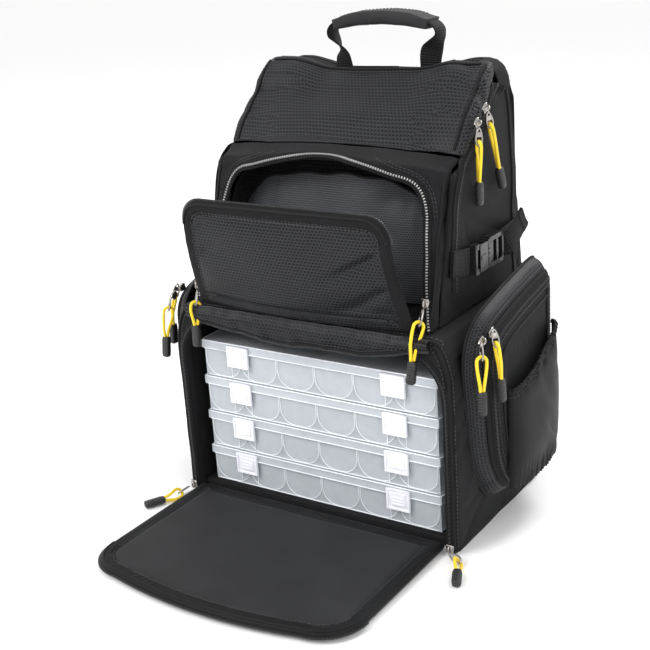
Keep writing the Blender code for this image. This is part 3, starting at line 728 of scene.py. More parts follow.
def pad_mesh(outline, place, top, bottom, band=0.0, rings=30, step=0.003):
    """A pad of any rounded outline: heights above and below come from the distance to its edge."""
    edge = resample([(x, y, 0.0) for x, y in outline], step, closed=True)
    count = len(edge)
    flat = np.array([(p.x, p.y) for p in edge])
    centre = (flat.max(0) + flat.min(0)) / 2.0
    build = Build()
    layers = []
    levels = [1.0 - (k / rings) ** 1.25 for k in range(rings)]
    ends = np.roll(flat, -1, axis=0)
    for scale in levels:
        ring = centre + (flat - centre) * scale
        gap = []
        for p in ring:
            d = ends - flat
            t = np.clip(((p - flat) * d).sum(1) / (d * d).sum(1), 0.0, 1.0)
            gap.append(float(np.sqrt((((flat + d * t[:, None]) - p) ** 2).sum(1)).min()))
        layers.append((ring, gap))
    rows = []
    for height, order in ((bottom, reversed(layers)), (top, layers)):
        for ring, gap in order:
            row = [place(p[0], p[1], height(p[0], p[1], g)) for p, g in zip(ring, gap)]
            rows.append((row, [(p[0], p[1]) for p in ring], gap))
    start = len(build.points)
    for row, cloth, _ in rows:
        build.points += [tuple(p) for p in row]
        build.cloth += cloth
    for k in range(len(rows) - 1):
        for i in range(count):
            j = (i + 1) % count
            a, b = start + k * count, start + (k + 1) * count
            inside = min(rows[k][2][i], rows[k + 1][2][i])
            build.add_face((a + i, a + j, b + j, b + i), 1 if inside < band else 0)
    for k, flip in ((0, True), (len(rows) - 1, False)):
        row, cloth, gap = rows[k]
        middle = sum((Vector(p) for p in row), Vector()) / count
        build.points.append(tuple(middle))
        build.cloth.append(tuple(centre))
        hub = len(build.points) - 1
        for i in range(count):
            j = (i + 1) % count
            a = start + k * count
            build.add_face((a + j, a + i, hub) if flip else (a + i, a + j, hub), 0)
    return build


# ---- box bay ----
def bay_outline(half, top, neck, shoulder, steps=10):
    rise = top - shoulder
    pull = half - neck
    right = [(half, 0.004), (half, 0.060), (half, 0.110)]
    right += [(neck + pull * math.cos(a), shoulder + rise * math.sin(a))
              for a in (math.radians(90.0 * i / steps) for i in range(steps + 1))]
    return right + [(-x, z) for x, z in reversed(right)]


def bay_folds(p, n):
    """Wrinkled side walls, and a border with soft puckers towards the opening."""
    if abs(n.x) > 0.6 and abs(p.x) > 0.155:
        fold = crease((p.y + 0.5 * p.z, p.y, p.z - 0.6 * p.y), (9.0, 6.0, 34.0), 3.1)
        swell = 0.0022 * math.sin(math.pi * min(1.0, p.z / 0.2)) + 0.0012 * ripple(p, (0.0, 22.0, 18.0))
        return n * (swell - 0.0016 * fold)
    if n.y < -0.6 and p.y < SHELL_FRONT + 0.008:
        return n * (0.0009 * ripple(p, (30.0, 0.0, 40.0), 7.0))
    return n * (0.0006 * ripple(p, (25.0, 25.0, 25.0), 2.0))


def make_bay():
    mesh = soft_mesh("lower_shell", 0.0023, 4, bay_folds)
    bay = add_mesh("bay_fabric", mesh, [WOVEN], "bag")
    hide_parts("lower_shell")
    skin = Skin(bay)
    rim = offset(bay_outline(0.160, 0.2135, 0.136, 0.160), -0.004)
    edge = smooth_path([(x, SHELL_FRONT, z) for x, z in rim], 0.004)
    points, normals = skin.lay(edge, (0, 1, 0))
    seam("bay_front_piping", "bag", points, normals, 0.0016, (0.004, -0.0045))
    opening = [(x, DOOR_HINGE.z + z) for x, z in offset(arch(*DOOR_ARCH), 0.0068)]
    opening[0] = (opening[0][0], 0.008)
    opening[-1] = (opening[-1][0], 0.008)
    path = resample([(x, SHELL_FRONT, z) for x, z in opening], 0.004)
    points, normals = skin.lay(path, (0, 1, 0), 0.0006)
    zip_run("bay_zip", "bag", points, normals, 0.0080, rows=(-1,))
    for name, side in SIDES:
        column = smooth_path([(side * 0.160, 0.070, z) for z in (0.010, 0.06, 0.12, 0.165, 0.19)], 0.004)
        points, normals = skin.lay(column, (-side, 0, 0))
        seam(f"bay_rear_seam_{name}", "bag", points, normals, 0.0012, (0.004,))
    make_valance()
    floor = soft_mesh("base_panel", 0.0022, 3,
                      lambda p, n: n * (0.0004 * ripple(p, (30, 30, 30)) if n.z > -0.5 else 0.0))
    base = add_mesh("base_fabric", floor, [WOVEN], "bag")
    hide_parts("base_panel")
    shelf = soft_mesh("divider_shelf", 0.0018, 3, lambda p, n: n * 0.0004 * ripple(p, (40, 40, 40), 5.0))
    board = add_mesh("shelf_fabric", shelf, [LINING], "bag")
    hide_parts("divider_shelf")


def make_valance():
    """The hem over the boxes: it droops in the middle, with the zip's upper half along its edge."""
    build = Build()
    rings = []
    cloth = []
    edge = []
    span = 0.1385
    for i in range(71):
        x = -span + 2.0 * span * i / 70
        t = x / span
        low = 0.1885 + 0.0145 * abs(t) ** 2.6 + 0.0012 * math.sin(9.0 * t)
        high = 0.2125
        sway = 0.0006 * math.sin(23.0 * t) + 0.0005 * math.sin(47.0 * t + 1.0)
        front = -0.1154 - 0.0010 * math.cos(1.4 * t) + sway
        column = []
        for k in range(9):
            s = k / 8
            uneven = 1.0 + 0.3 * ripple((x, s, 0), (28, 2, 1))
            bulge = 0.0042 * math.sin(math.pi * min(1.0, s * 1.05)) * uneven
            column.append((x, front - bulge + 0.0020 * s * s, low + (high - low) * s))
        back = [(a, b + 0.0011, c) for a, b, c in reversed(column)]
        rings.append(column + back)
        cloth.append([(a, c) for a, b, c in column + back])
        edge.append(Vector((x, front - 0.0003, low)))
    build.skin(rings, cloth)
    outs = [FRONTWARD.copy() for _ in edge]
    stitch_row(build, [p + UP * 0.0045 + FRONTWARD * 0.0026 for p in edge], outs, 0.0, 1)
    build.tube([p + UP * 0.0016 + FRONTWARD * 0.0006 for p in edge], 0.0016, 8, 2)
    teeth = resample(edge, 0.0021)
    for spot in teeth:
        build.block(spot - UP * 0.0012, (UP, Vector((1, 0, 0)), FRONTWARD), (0.0026, 0.0012, 0.0014), 3)
    hem = build.piece("bay_hem", [RIPSTOP, THREAD, BINDING, COIL], "bag", "woven")
    return hem


# ---- door ----
def make_door():
    middle = 0.0055

    def place(x, reach, height):
        return (x, DOOR_HINGE.y - reach, middle + height)

    def top(x, reach, gap):
        run = x if abs(x) > 0.132 else x + reach
        gathers = 0.00045 * math.sin(1250.0 * run + 3.0 * ripple((x, reach, 0), (30, 30, 1)))
        roll = 0.0046 * min(1.0, math.sqrt(max(0.0, 1.0 - (1.0 - min(1.0, gap / 0.0055)) ** 2)))
        if gap < 0.0125:
            return roll + gathers * ease(gap / 0.004) * ease((0.0125 - gap) / 0.003)
        dip = 0.0020 * math.exp(-((gap - 0.0135) / 0.0022) ** 2)
        swell = 0.0004 * math.sin(math.pi * min(1.0, gap / 0.09))
        return 0.0043 - dip + swell + 0.0007 * ripple((x, reach, 0.0), (17.0, 21.0, 1.0), 4.0)

    def bottom(x, reach, gap):
        return -0.0049 * min(1.0, math.sqrt(max(0.0, 1.0 - (1.0 - min(1.0, gap / 0.0055)) ** 2)))

    outline = offset(arch(*DOOR_ARCH), -0.0004)
    door = pad_mesh(outline, place, top, bottom, band=0.012, rings=44, step=0.0028)
    piece = door.piece("door_pad", [LINING, BINDING, RIPSTOP], "door", "lining")
    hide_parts("tackle_door")
    for face in piece.data.polygons:
        if face.normal.z < -0.5:
            face.material_index = 2     # the outside, which lies on the floor while the door is open
    skin = Skin(piece)
    rim = Build()
    inner = [(x, DOOR_HINGE.y - y, 0.012) for x, y in offset(outline, -0.0118)]
    points, normals = skin.lay(resample(inner[1:-1], 0.004), (0, 0, -1))
    stitch_row(rim, points, normals, 0.0, 0)
    path = [Vector((x, DOOR_HINGE.y - y, middle)) for x, y in offset(outline, 0.0002)][:-1]
    path = resample(path[1:], 0.0021)
    for a, b in zip(path, path[1:]):
        along = (b - a).normalized()
        out = along.cross(UP).normalized()
        if out.dot(a - Vector((0, -0.2, middle))) < 0:
            out = -out
        rim.block(a + out * 0.0008, (out, along, UP), (0.0030, 0.0012, 0.0016), 1)
    rim.strip(path[::2], UP, 0.0022, 0.0012, 2)
    rim.tube([p + UP * 0.0040 for p in resample([(x, DOOR_HINGE.y - y, middle) for x, y in
              offset(outline, -0.0030)][1:-1], 0.004)], 0.0011, 7, 2)
    rim.piece("door_zip", [THREAD, COIL, BINDING], "door", "lining")


# ---- utility boxes ----
def make_boxes():
    pitch = 0.044867
    first = -0.1346 + pitch / 2
    for number in range(1, BOX_COUNT + 1):
        base = BOX_BASE + (number - 1) * BOX_PITCH
        body = f"box_{number}"
        for part in ("tray", "lid"):
            solid = NODES[f"{body}_{part}"]
            solid.data.materials.clear()
            solid.data.materials.append(FROSTED)
        # near-white tubes along the real rims, foot, channel walls and latch ribs: a painted highlight on the
        # frosted plastic's edges
        build = Build()
        front = BOX_FRONT - 0.0003
        corners = [(-BOX_HALF, front), (BOX_HALF, front), (BOX_HALF, 0.0813), (-BOX_HALF, 0.0813)]
        loop = resample([(x, y, 0.0) for x, y in rounded(corners, 0.004)], 0.006, closed=True)
        for height, radius in ((0.0389, 0.0007), (0.0305, 0.0006)):
            build.tube([p + UP * (base + height) for p in loop], radius, 6, 0, closed=True)
        foot = [(-0.1350, -0.0972), (0.1350, -0.0972), (0.1350, 0.0790), (-0.1350, 0.0790)]
        loop = resample([(x, y, 0.0) for x, y in rounded(foot, 0.004)], 0.006, closed=True)
        build.tube([p + UP * (base + 0.0010) for p in loop], 0.0006, 6, 0, closed=True)
        wall = BOX_FRONT + 0.0017
        for cell in range(CHANNELS):
            middle = first + pitch * cell
            half = pitch / 2 - 0.0009
            turn = arc((middle - half + 0.016, base + 0.0178), 0.016, 180.0, 270.0, 8)
            turn += arc((middle + half - 0.016, base + 0.0178), 0.016, 270.0, 360.0, 8)
            line = [(middle - half, base + 0.0300)] + turn + [(middle + half, base + 0.0300)]
            build.tube([Vector((x, wall, z)) for x, z in resample_flat(line)], 0.00045, 6, 0)
        for side in (-1.0, 1.0):
            for shift in (-0.0105, 0.0105):
                x = side * LATCH_OFFSET + shift
                rib = [Vector((x, wall - 0.0004, base + z)) for z in (0.0020, 0.0080, 0.0140)]
                build.tube(rib, 0.0004, 6, 0)
        build.piece(f"{body}_edges", [EDGE_HIGHLIGHT], body, "frosted")
        for name, side in SIDES:
            make_latch(number, name, side, base)


def resample_flat(line):
    return [(p.x, p.y) for p in resample([(x, z, 0.0) for x, z in line], 0.003)]


def make_latch(number, name, side, base):
    """A snap latch: plate, raised frame and ribbed centre."""
    build = Build()
    middle = side * LATCH_OFFSET
    face = BOX_FRONT - 0.0004
    wide = Vector((1, 0, 0))
    axes = (wide, UP, FRONTWARD)
    low, high = base + 0.0148, base + 0.0374
    half = (low + high) / 2
    build.block(Vector((middle, face - 0.0009, half)), axes, (0.0262, high - low, 0.0016), 0, 0.06)
    for z in (low + 0.0012, high - 0.0012):
        build.block(Vector((middle, face - 0.0020, z)), axes, (0.0256, 0.0018, 0.0012), 0, 0.1)
    for shift in (-0.0118, 0.0118):
        size = (0.0018, high - low - 0.001, 0.0012)
        build.block(Vector((middle + shift, face - 0.0020, half)), axes, size, 0, 0.1)
    build.block(Vector((middle, face - 0.0022, half + 0.0006)), axes, (0.0170, 0.0135, 0.0011), 0, 0.08)
    for k in range(3):
        spot = Vector((middle, face - 0.0029, low + 0.0070 + 0.0034 * k))
        build.block(spot, axes, (0.0130, 0.0011, 0.0006), 0, 0.2)
    piece = build.piece(f"box_{number}_clasp_{name}", [MILKY], f"box_{number}_latch_{name}", "milky")
    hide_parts(f"box_{number}_latch_{name}")


# ---- upper front ----
def front_folds(p, n):
    fold = crease((p.x, p.y, p.z), (11.0, 4.0, 30.0), 1.7) * ease((abs(p.x) - 0.06) / 0.05)
    return n * (0.0009 * ripple(p, (24.0, 24.0, 24.0)) - 0.0016 * fold) + corner_pull(p)


def make_front():
    mesh = soft_mesh("front_panel", 0.0017, 12, front_folds)
    front = add_mesh("front_fabric", mesh, [WOVEN], "bag")
    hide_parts("front_panel")
    skin = Skin(front)
    curve = offset(arch(*POCKET_ARCH), 0.0042)
    path = resample([pulled(on_front(x, z)) for x, z in curve], 0.004)
    points, normals = skin.lay(path, (0, 1, 0), 0.0006)
    zip_run("pocket_zip", "bag", points, normals, 0.0086, pale=True, rows=(-1,))
    build = Build()
    for grow in (0.0115, 0.0140):
        near = [(x, z) for x, z in offset(arch(*POCKET_ARCH), grow) if z < 0.3625 and abs(x) < 0.1335]
        for part in (near[:len(near) // 2], near[len(near) // 2:]):
            if len(part) > 2:
                laid, outs = skin.lay(resample([pulled(on_front(x, z)) for x, z in part], 0.004), (0, 1, 0))
                stitch_row(build, laid, outs, 0.0, 0)
    for name, side in SIDES:
        edge = [pulled(on_front(side * 0.1325, z)) for z in (0.222, 0.25, 0.29, 0.33, 0.358)]
        laid, outs = skin.lay(smooth_path(edge, 0.004), (0, 1, 0))
        build.tube([p + n * 0.0005 for p, n in zip(laid, outs)], 0.0014, 8, 1)
    build.piece("front_stitching", [THREAD, BINDING], "bag", "woven")


def make_pocket():
    folds = soft_mesh("pocket_lining", 0.0015, 3,
                      lambda p, n: n * 0.0007 * ripple(p, (40, 40, 28), 6.0) + corner_pull(p))
    lining = add_mesh("pocket_gusset", folds, [MESH], "bag")
    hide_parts("pocket_lining")
    build = Build()
    rings = []
    cloth = []
    rim = []
    depth = 0.0424
    for i in range(121):
        t = -1.0 + 2.0 * i / 120
        x = 0.1085 * t
        reach = 0.0155 * (1.0 - abs(t) ** 3.2)
        gather = 0.0007 * math.sin(34.0 * t + 2.5 * math.sin(7.0 * t)) * ease((abs(t) - 0.3) / 0.4)
        top = 0.3370 - 0.034 * abs(t) ** 4.5 + 0.0010 * math.sin(15.0 * t) + 0.0008 * math.sin(6.0 * t + 1.0)
        column = []
        for k in range(30):
            s = k / 29
            z = 0.2265 + s * (top - 0.2265)
            belly = reach * (0.62 + 0.38 * math.sin(math.pi * min(1.0, s * 1.05)))
            crumple = 0.0022 * ripple((x, 0.0, z), (26.0, 1.0, 20.0), 8.0)
            fold = 0.0030 * crease((x, 0.0, z + 0.4 * x), (14.0, 1.0, 26.0), 2.0) * ease((t - 0.25) / 0.4)
            edge = 1.0 - abs(t) ** 4
            column.append(on_front(x, z, depth - belly - (gather * s * s + crumple - fold) * edge))
        back = [p + Vector((0, 0.0015, 0)) for p in reversed(column)]
        rings.append(column + back)
        cloth.append([(x, p.z) for p in column + back])
        rim.append(column[-1] + Vector((0, 0.0007, 0.0004)))
    build.skin(rings, cloth)
    build.tube(rim, 0.0013, 8, 1)
    outs = [FRONTWARD.copy() for _ in rim]
    stitch_row(build, [p - UP * 0.0045 + FRONTWARD * 0.0012 for p in rim], outs, 0.0, 2)
    pouch = build.piece("pouch_cloth", [POUCH, BINDING, THREAD], "bag", "ripstop")
    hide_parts("organiser_pouch")


FLAP_BODIES = ("pocket_fold", "pocket_flap", (0.0, -0.1125, 0.2140), (0.0, -0.1350, 0.2760))


def flap_spot(x, reach, height):
    """A point of the open flap: it leans forward from the pocket's foot with a soft belly."""
    s = reach / 0.1185
    belly = 0.0085 * math.sin(math.pi * min(1.0, max(0.0, s)) ** 0.8) * (1.0 - 0.55 * (x / 0.122) ** 2)
    foot = 0.0060 * (x / 0.122) ** 2 * (1.0 - min(1.0, s * 1.6))
    y = -0.1130 - 0.0225 * s - belly + foot - height * math.cos(FLAP_LEAN)
    droop = -0.0020 * (x / 0.11) ** 2 * s
    return Vector((x, y, 0.2130 + 0.1165 * s - droop + 0.5 * foot - height * math.sin(FLAP_LEAN)))


def make_flap():
    def front(x, reach, gap):
        roll = 0.0030 * math.sqrt(max(0.0, 1.0 - (1.0 - min(1.0, gap / 0.004)) ** 2))
        if gap < 0.0110:
            return roll + 0.0004 * ripple((x, reach, 0), (120, 120, 1))
        dip = 0.0016 * math.exp(-((gap - 0.0118) / 0.0016) ** 2)
        soft = 0.0022 * ripple((x, reach, 0.0), (13.0, 26.0, 1.0), 2.0)
        slant = crease((x, reach - 0.45 * x, 0.0), (7.0, 32.0, 1.0), 5.0)
        pull = 0.0032 * slant * ease((x - 0.02) / 0.05) + 0.0022 * slant * ease((-x - 0.06) / 0.04)
        return 0.0024 - dip + (soft - pull) * ease((gap - 0.011) / 0.012)

    def back(x, reach, gap):
        return -0.0027 * math.sqrt(max(0.0, 1.0 - (1.0 - min(1.0, gap / 0.004)) ** 2))

    outline = arch(*FLAP_ARCH)
    pad = pad_mesh(outline, flap_spot, front, back, band=0.0105, rings=40, step=0.0026)
    flap = pad.piece("flap_cloth", [RIPSTOP, BORDER], FLAP_BODIES, "ripstop")
    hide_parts("pocket_flap", "pocket_fold")
    for face in flap.data.polygons:
        if face.center.z < 0.2260 and abs(face.center.x) < 0.1090:
            face.material_index = 0
    skin = Skin(flap)
    out = Vector((0.0, -math.cos(FLAP_LEAN), -math.sin(FLAP_LEAN)))
    rim = Build()
    for grow in (-0.0024, -0.0105, -0.0135):
        line = [flap_spot(x, y, 0.004) for x, y in offset(outline, grow)][1:-1]
        laid, outs = skin.lay(resample(line, 0.004), -out)
        if grow > -0.005:
            rim.tube([p + n * 0.0002 for p, n in zip(laid, outs)], 0.0013, 8, 2)
        else:
            stitch_row(rim, laid, outs, 0.0, 0)
    edge = resample([flap_spot(x, y, -0.0006) for x, y in offset(outline, 0.0002)][1:-1], 0.0021)
    centre = flap_spot(0.0, 0.06, 0.0)
    for a, b in zip(edge, edge[1:]):
        run = (b - a).normalized()
        side = run.cross(out).normalized()
        if side.dot(a - centre) < 0:
            side = -side
        rim.block(a + side * 0.0006, (side, run, out), (0.0024, 0.0011, 0.0013), 1)
    rim.piece("flap_zip", [THREAD, COIL, BINDING], FLAP_BODIES, "ripstop")


# ---- top and rear ----
def crown_lift(x, y, z):
    """The bag's top stands up at its corners and sags between them."""
    rise = ease((z - 0.385) / 0.035)
    corner = ease((abs(x) - 0.045) / 0.055) * (1.0 - 0.25 * ease((abs(x) - 0.118) / 0.02))
    behind = ease((y - 0.036) / 0.010) * (1.0 - 0.6 * ease((y - 0.055) / 0.030))
    return rise * (0.0105 * corner - 0.0015 - 0.0060 * behind)


def top_folds(p, n):
    wave = 0.0016 * ripple(p, (13.0, 16.0, 16.0), 9.0)
    side_fold = crease((p.x, p.y, p.z), (10.0, 34.0, 6.0), 2.0) * ease((abs(p.x) - 0.07) / 0.04)
    sag = -0.0035 * (1.0 - (p.x / 0.13) ** 2) if n.z > 0.3 else 0.0
    ridge = 0.0062 * ease((p.y - 0.010) / 0.030)
    level = crown_lift(p.x, min(p.y, 0.036), p.z) + sag + ridge
    move = n * (wave - 0.0024 * side_fold) + UP * level
    return move * ease((p.y + 0.040) / 0.010) + corner_pull(p)


def make_top():
    mesh = soft_mesh("top_panel", 0.0017, 9, top_folds)
    top = add_mesh("top_fabric", mesh, [RIPSTOP], "top_panel")
    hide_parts("top_panel")
    skin = Skin(top)
    build = Build()
    for name, side in SIDES:
        slope = ((-0.036, 0.371), (-0.008, 0.398), (0.024, 0.420), (0.042, 0.432))
        line = [(side * 0.1235, y, z) for y, z in slope]
        laid, outs = skin.lay(smooth_path(line, 0.004), (0, 0.45, -1))
        build.tube([p + n * 0.0005 for p, n in zip(laid, outs)], 0.0015, 8, 1)
        for across in (-0.004, 0.004):
            stitch_row(build, laid, outs, across, 0)
    line = [(x, -0.032, 0.3745) for x in (-0.122, -0.06, 0.0, 0.06, 0.122)]
    laid, outs = skin.lay(smooth_path(line, 0.004), (0, 0.6, -1))
    stitch_row(build, laid, outs, 0.0, 0)
    line = [(x, 0.043, 0.432) for x in (-0.118, -0.06, 0.0, 0.06, 0.118)]
    laid, outs = skin.lay(smooth_path(line, 0.004), (0, 0.2, -1))
    build.tube([p + n * 0.0004 for p, n in zip(laid, outs)], 0.0013, 8, 1)
    stitch_row(build, laid, outs, 0.004, 0)
    build.piece("top_stitching", [THREAD, BINDING], "top_panel", "ripstop")
    line = [(x, 0.050, 0.44) for x in (-0.122, -0.08, 0.0, 0.08, 0.122)]
    laid, _ = skin.lay(smooth_path(line, 0.004), (0, 0, -1))
    skirt = Build()
    skirt.strip([q - UP * 0.0065 for q in laid], [-FRONTWARD for _ in laid], 0.0125, 0.0011, 0)
    skirt.piece("top_skirt", [WOVEN], "top_panel", "woven")


def rear_folds(p, n):
    lift = UP * crown_lift(*p)
    if abs(n.x) > 0.6:
        fold = crease((p.y, p.y, p.z + 0.5 * p.y), (5.0, 9.0, 24.0), 6.0)
        swell = 0.0014 * math.sin(math.pi * min(1.0, max(0.0, (p.z - 0.214) / 0.2)))
        return n * (swell - 0.0013 * fold + 0.0006 * ripple(p, (10, 24, 24))) + lift
    return n * 0.0006 * ripple(p, (20, 20, 20)) + lift


def make_rear():
    rear = add_mesh("rear_fabric", soft_mesh("rear_shell", 0.0016, 4, rear_folds), [WOVEN], "bag")
    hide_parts("rear_shell")
    skin = Skin(rear)
    for name, side in SIDES:
        line = [(-0.054, 0.240), (-0.0525, 0.290), (-0.0425, 0.335), (-0.0165, 0.366), (0.0080, 0.3865)]
        line += [(0.0345, 0.4030), (0.0560, 0.4135)]
        path = smooth_path([(side * 0.137, y, z) for y, z in line], 0.004)
        points, normals = skin.lay(path, (-side, 0, 0), 0.0006)
        zip_run(f"main_zip_{name}", "bag", points, normals, 0.0135, rows=(-1, 1))
        line = [(side * 0.137, 0.070, z) for z in (0.216, 0.27, 0.33, 0.38, 0.405)]
        points, normals = skin.lay(smooth_path(line, 0.004), (-side, 0, 0))
        seam(f"rear_seam_{name}", "bag", points, normals, 0.0012, (0.004 * side,))
    line = [(x, 0.074, 0.44) for x in (-0.105, -0.05, 0.0, 0.05, 0.105)]
    points, normals = skin.lay(smooth_path(line, 0.004), (0, 0, -1))
    seam("rear_top_seam", "bag", points, normals, 0.0006, (0.004,))
    half = [(0.1255, 0.219), (0.1255, 0.375), (0.1235, 0.398)]
    half += [(0.1140, 0.4135), (0.0960, 0.4175), (0.0, 0.4175)]
    outline = half + [(-x, z) for x, z in reversed(half[:-1])]
    path = smooth_path([(x, 0.0808, z) for x, z in outline], 0.004)
    path = [q + UP * crown_lift(*q) for q in path]
    flange = Build()
    flange.strip(path, [-FRONTWARD for _ in path], 0.0170, 0.0012, 0)
    flange.piece("rear_flange", [WOVEN], "bag", "woven")


# ---- back and shoulder straps ----
def back_shape(p, n):
    """Foam channels sewn into the side that rests on the wearer."""
    lift = UP * crown_lift(*p)
    if n.y < 0.5:
        return lift
    groove = math.exp(-((abs(p.x) - 0.030) / 0.0035) ** 2)
    for z in (0.075, 0.150, 0.225, 0.300, 0.370):
        groove = max(groove, math.exp(-((p.z - z) / 0.0035) ** 2) * ease((abs(p.x) - 0.030) / 0.004))
    return lift + n * (0.0012 - 0.0042 * groove + 0.0004 * ripple(p, (25, 25, 25)))


def make_back():
    mesh = soft_mesh("back_panel", 0.0030, 4, back_shape)
    back = add_mesh("back_pad", mesh, [MESH], "bag")
    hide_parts("back_panel")
    skin = Skin(back)
    right = [(0.1475, 0.006), (0.1475, 0.165), (0.1295, 0.225), (0.1195, 0.395), (0.100, 0.419)]
    outline = rounded(right + [(-x, z) for x, z in reversed(right)], 0.02)
    path = resample([(x, BACK_FACE, z) for x, z in outline], 0.004)
    points, normals = skin.lay(path, (0, -1, 0))
    seam("back_piping", "bag", points, normals, 0.0018, (0.005,))


def strap_path(side):
    start = BACK_FACE + 0.0004
    path = [(0.048, start + 0.0090, 0.400), (0.052, start + 0.024, 0.380), (0.060, start + 0.034, 0.335)]
    path += [(0.072, start + 0.036, 0.280), (0.084, start + 0.028, 0.220), (0.092, start + 0.018, 0.165)]
    path.append((0.096, start + 0.014, 0.140))
    return [Vector((side * a, b, c)) for a, b, c in path], start


def make_shoulder_strap(name, side):
    mesh = soft_mesh(f"shoulder_strap_{name}", 0.0036, 3, None, (3.0, 0.0016))
    pad = add_mesh(f"strap_pad_{name}", mesh, [WOVEN], "bag")
    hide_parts(f"shoulder_strap_{name}")
    skin = Skin(pad)
    route, start = strap_path(side)
    widths = (0.060, 0.064, 0.068, 0.068, 0.060, 0.048, 0.036)
    build = Build()
    for edge in (-1.0, 1.0):
        line = [p + Vector((edge * (w / 2 - 0.0045), 0.02, 0)) for p, w in zip(route, widths)]
        laid, outs = skin.lay(smooth_path(line, 0.004), (0, -1, 0))
        build.tube([p + n * 0.0004 for p, n in zip(laid, outs)], 0.0013, 8, 1)
        stitch_row(build, laid, outs, 0.0042 * edge, 0)
    build.piece(f"strap_trim_{name}", [THREAD, BINDING], "bag", "woven")
    lock = Build()
    centre = Vector((side * 0.0970, start + 0.0130, 0.1255))
    along = Vector((side * 0.0010, -0.0010, -0.0180)).normalized()
    wide = Vector((1, 0, 0))
    out = along.cross(wide).normalized()
    for t, size in ((-0.0075, 0.0030), (0.0, 0.0026), (0.0075, 0.0030)):
        lock.block(centre + along * t, (wide, along, out), (0.0310, size, 0.0044), 0, 0.1)
    for edge in (-0.0145, 0.0145):
        lock.block(centre + wide * edge, (along, wide, out), (0.0180, 0.0030, 0.0044), 0, 0.15)
    piece = lock.piece(f"strap_lock_{name}", [PLASTIC], "bag", "plastic")
    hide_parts(f"ladder_lock_{name}")
    tail = Build()
    path = [(0.0990, start + 0.0110, 0.1090), (0.105, start + 0.0095, 0.092), (0.112, start + 0.0075, 0.075)]
    path += [(0.120, start + 0.0048, 0.055), (0.128, start + 0.0024, 0.036)]
    points = smooth_path([(side * a, b, c) for a, b, c in path], 0.003)
    tail.strip(points, Vector((0, 1, 0)), WEBBING_WIDTH, 0.0017)
    piece = tail.piece(f"lower_strap_{name}", [WEBBING], "bag", "webbing")
    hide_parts(f"lower_webbing_{name}")


# ---- side pockets ----
def make_side(name, side):
    base = side_outline()
    rim = offset(base, -0.010)

    def place(ring, x):
        return [Vector((side * x, p.x, p.y)) for p in ring]

    def even(outline, count):
        path = resample([(y, z, 0.0) for y, z in rounded(outline, 0.022, 8)], 0.004, closed=True)
        total = len(path)
        return [path[round(i * total / count) % total] for i in range(count)]

    count = 200
    low = even(base, count)
    high = even(rim, count)
    rings = []
    cloth = []
    for layer, depth in ((0, 0.0), (1, 0.003)):
        for k in range(9):
            s = k / 8 if layer == 0 else 1.0 - k / 8
            ring = []
            for i in range(count):
                p = low[i].lerp(high[i], s)
                inward = (Vector((-0.012, 0.135, 0.0)) - p).normalized()
                swell = 0.0022 * math.sin(math.pi * s)
                pucker = 0.0010 * ripple((p.x, p.y, s), (60.0, 60.0, 2.0), 4.0) * math.sin(math.pi * s)
                p = p + inward * (depth - (swell + pucker) * (1 - layer))
                ring.append(p)
            x = SIDE_BASE + 0.0004 + (SIDE_RIM - SIDE_BASE - 0.0008) * s
            rings.append(place(ring, x))
            cloth.append([(i * 0.0042, s * 0.018) for i in range(count)])
    build = Build()
    build.skin(rings, cloth, closed=True)
    build.tube([p + Vector((side * 0.0004, 0, 0)) for p in rings[0][:]], 0.0014, 8, 1, closed=True)
    gusset = build.piece(f"side_gusset_{name}", [RIPSTOP, BINDING], "bag", "ripstop")
    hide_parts(f"side_pocket_{name}")

    body = f"side_cover_{name}"
    start = SIDE_RIM + 0.0004

    def spot(y, z, height):
        return Vector((side * (start + height), y, z))

    def outer(y, z, gap):
        rise = 0.0085 * (1.0 - math.exp(-gap / 0.0075)) + 0.0014
        rise *= min(1.0, math.sqrt(max(0.0, 1.0 - (1.0 - min(1.0, gap / 0.003)) ** 2)) + 0.05)
        folds = 0.0008 * ripple((y, z, 0.0), (24.0, 24.0, 1.0), 3.0) * ease(gap / 0.02)
        hidden = -0.0008 if -0.055 < y < 0.043 and 0.045 < z < 0.185 else 0.0
        return rise + folds * 0.6 + hidden

    border = resample([(y, z, 0.0) for y, z in rounded(rim, 0.020, 8)], 0.004, closed=True)
    pad = pad_mesh([(p.x, p.y) for p in border], spot, outer, lambda y, z, gap: 0.0,
                   band=0.0, rings=36, step=0.0032)
    cover = pad.piece(f"side_cloth_{name}", [WOVEN], body, "woven")
    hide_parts(body)
    skin = Skin(cover)
    lines = Build()
    for shrink, kind in ((-0.0060, "coil"), (-0.0110, "stitch"), (-0.0190, "pipe")):
        line = rounded(offset(rim, shrink), 0.018, 6)
        keep = [(y, z) for y, z in line if z > 0.050 or kind == "pipe"]
        if kind == "coil":
            first = max(range(len(line)), key=lambda i: -line[i][1] + line[i][0])
            keep = [p for p in line[first:] + line[:first] if p[1] > 0.046]
        path = resample([(side * 0.19, y, z) for y, z in keep], 0.004)
        laid, outs = skin.lay(path, (-side, 0, 0), 0.0003)
        if kind == "coil":
            zip_run(f"side_zip_{name}", body, laid, outs, 0.0078, rows=(-1,))
        elif kind == "stitch":
            stitch_row(lines, laid, outs, 0.0, 0)
        else:
            lines.tube([p + n * 0.0003 for p, n in zip(laid, outs)], 0.0012, 8, 1)
    lines.piece(f"side_lines_{name}", [THREAD, BINDING], body, "woven")
    make_bottle_pocket(name, side)


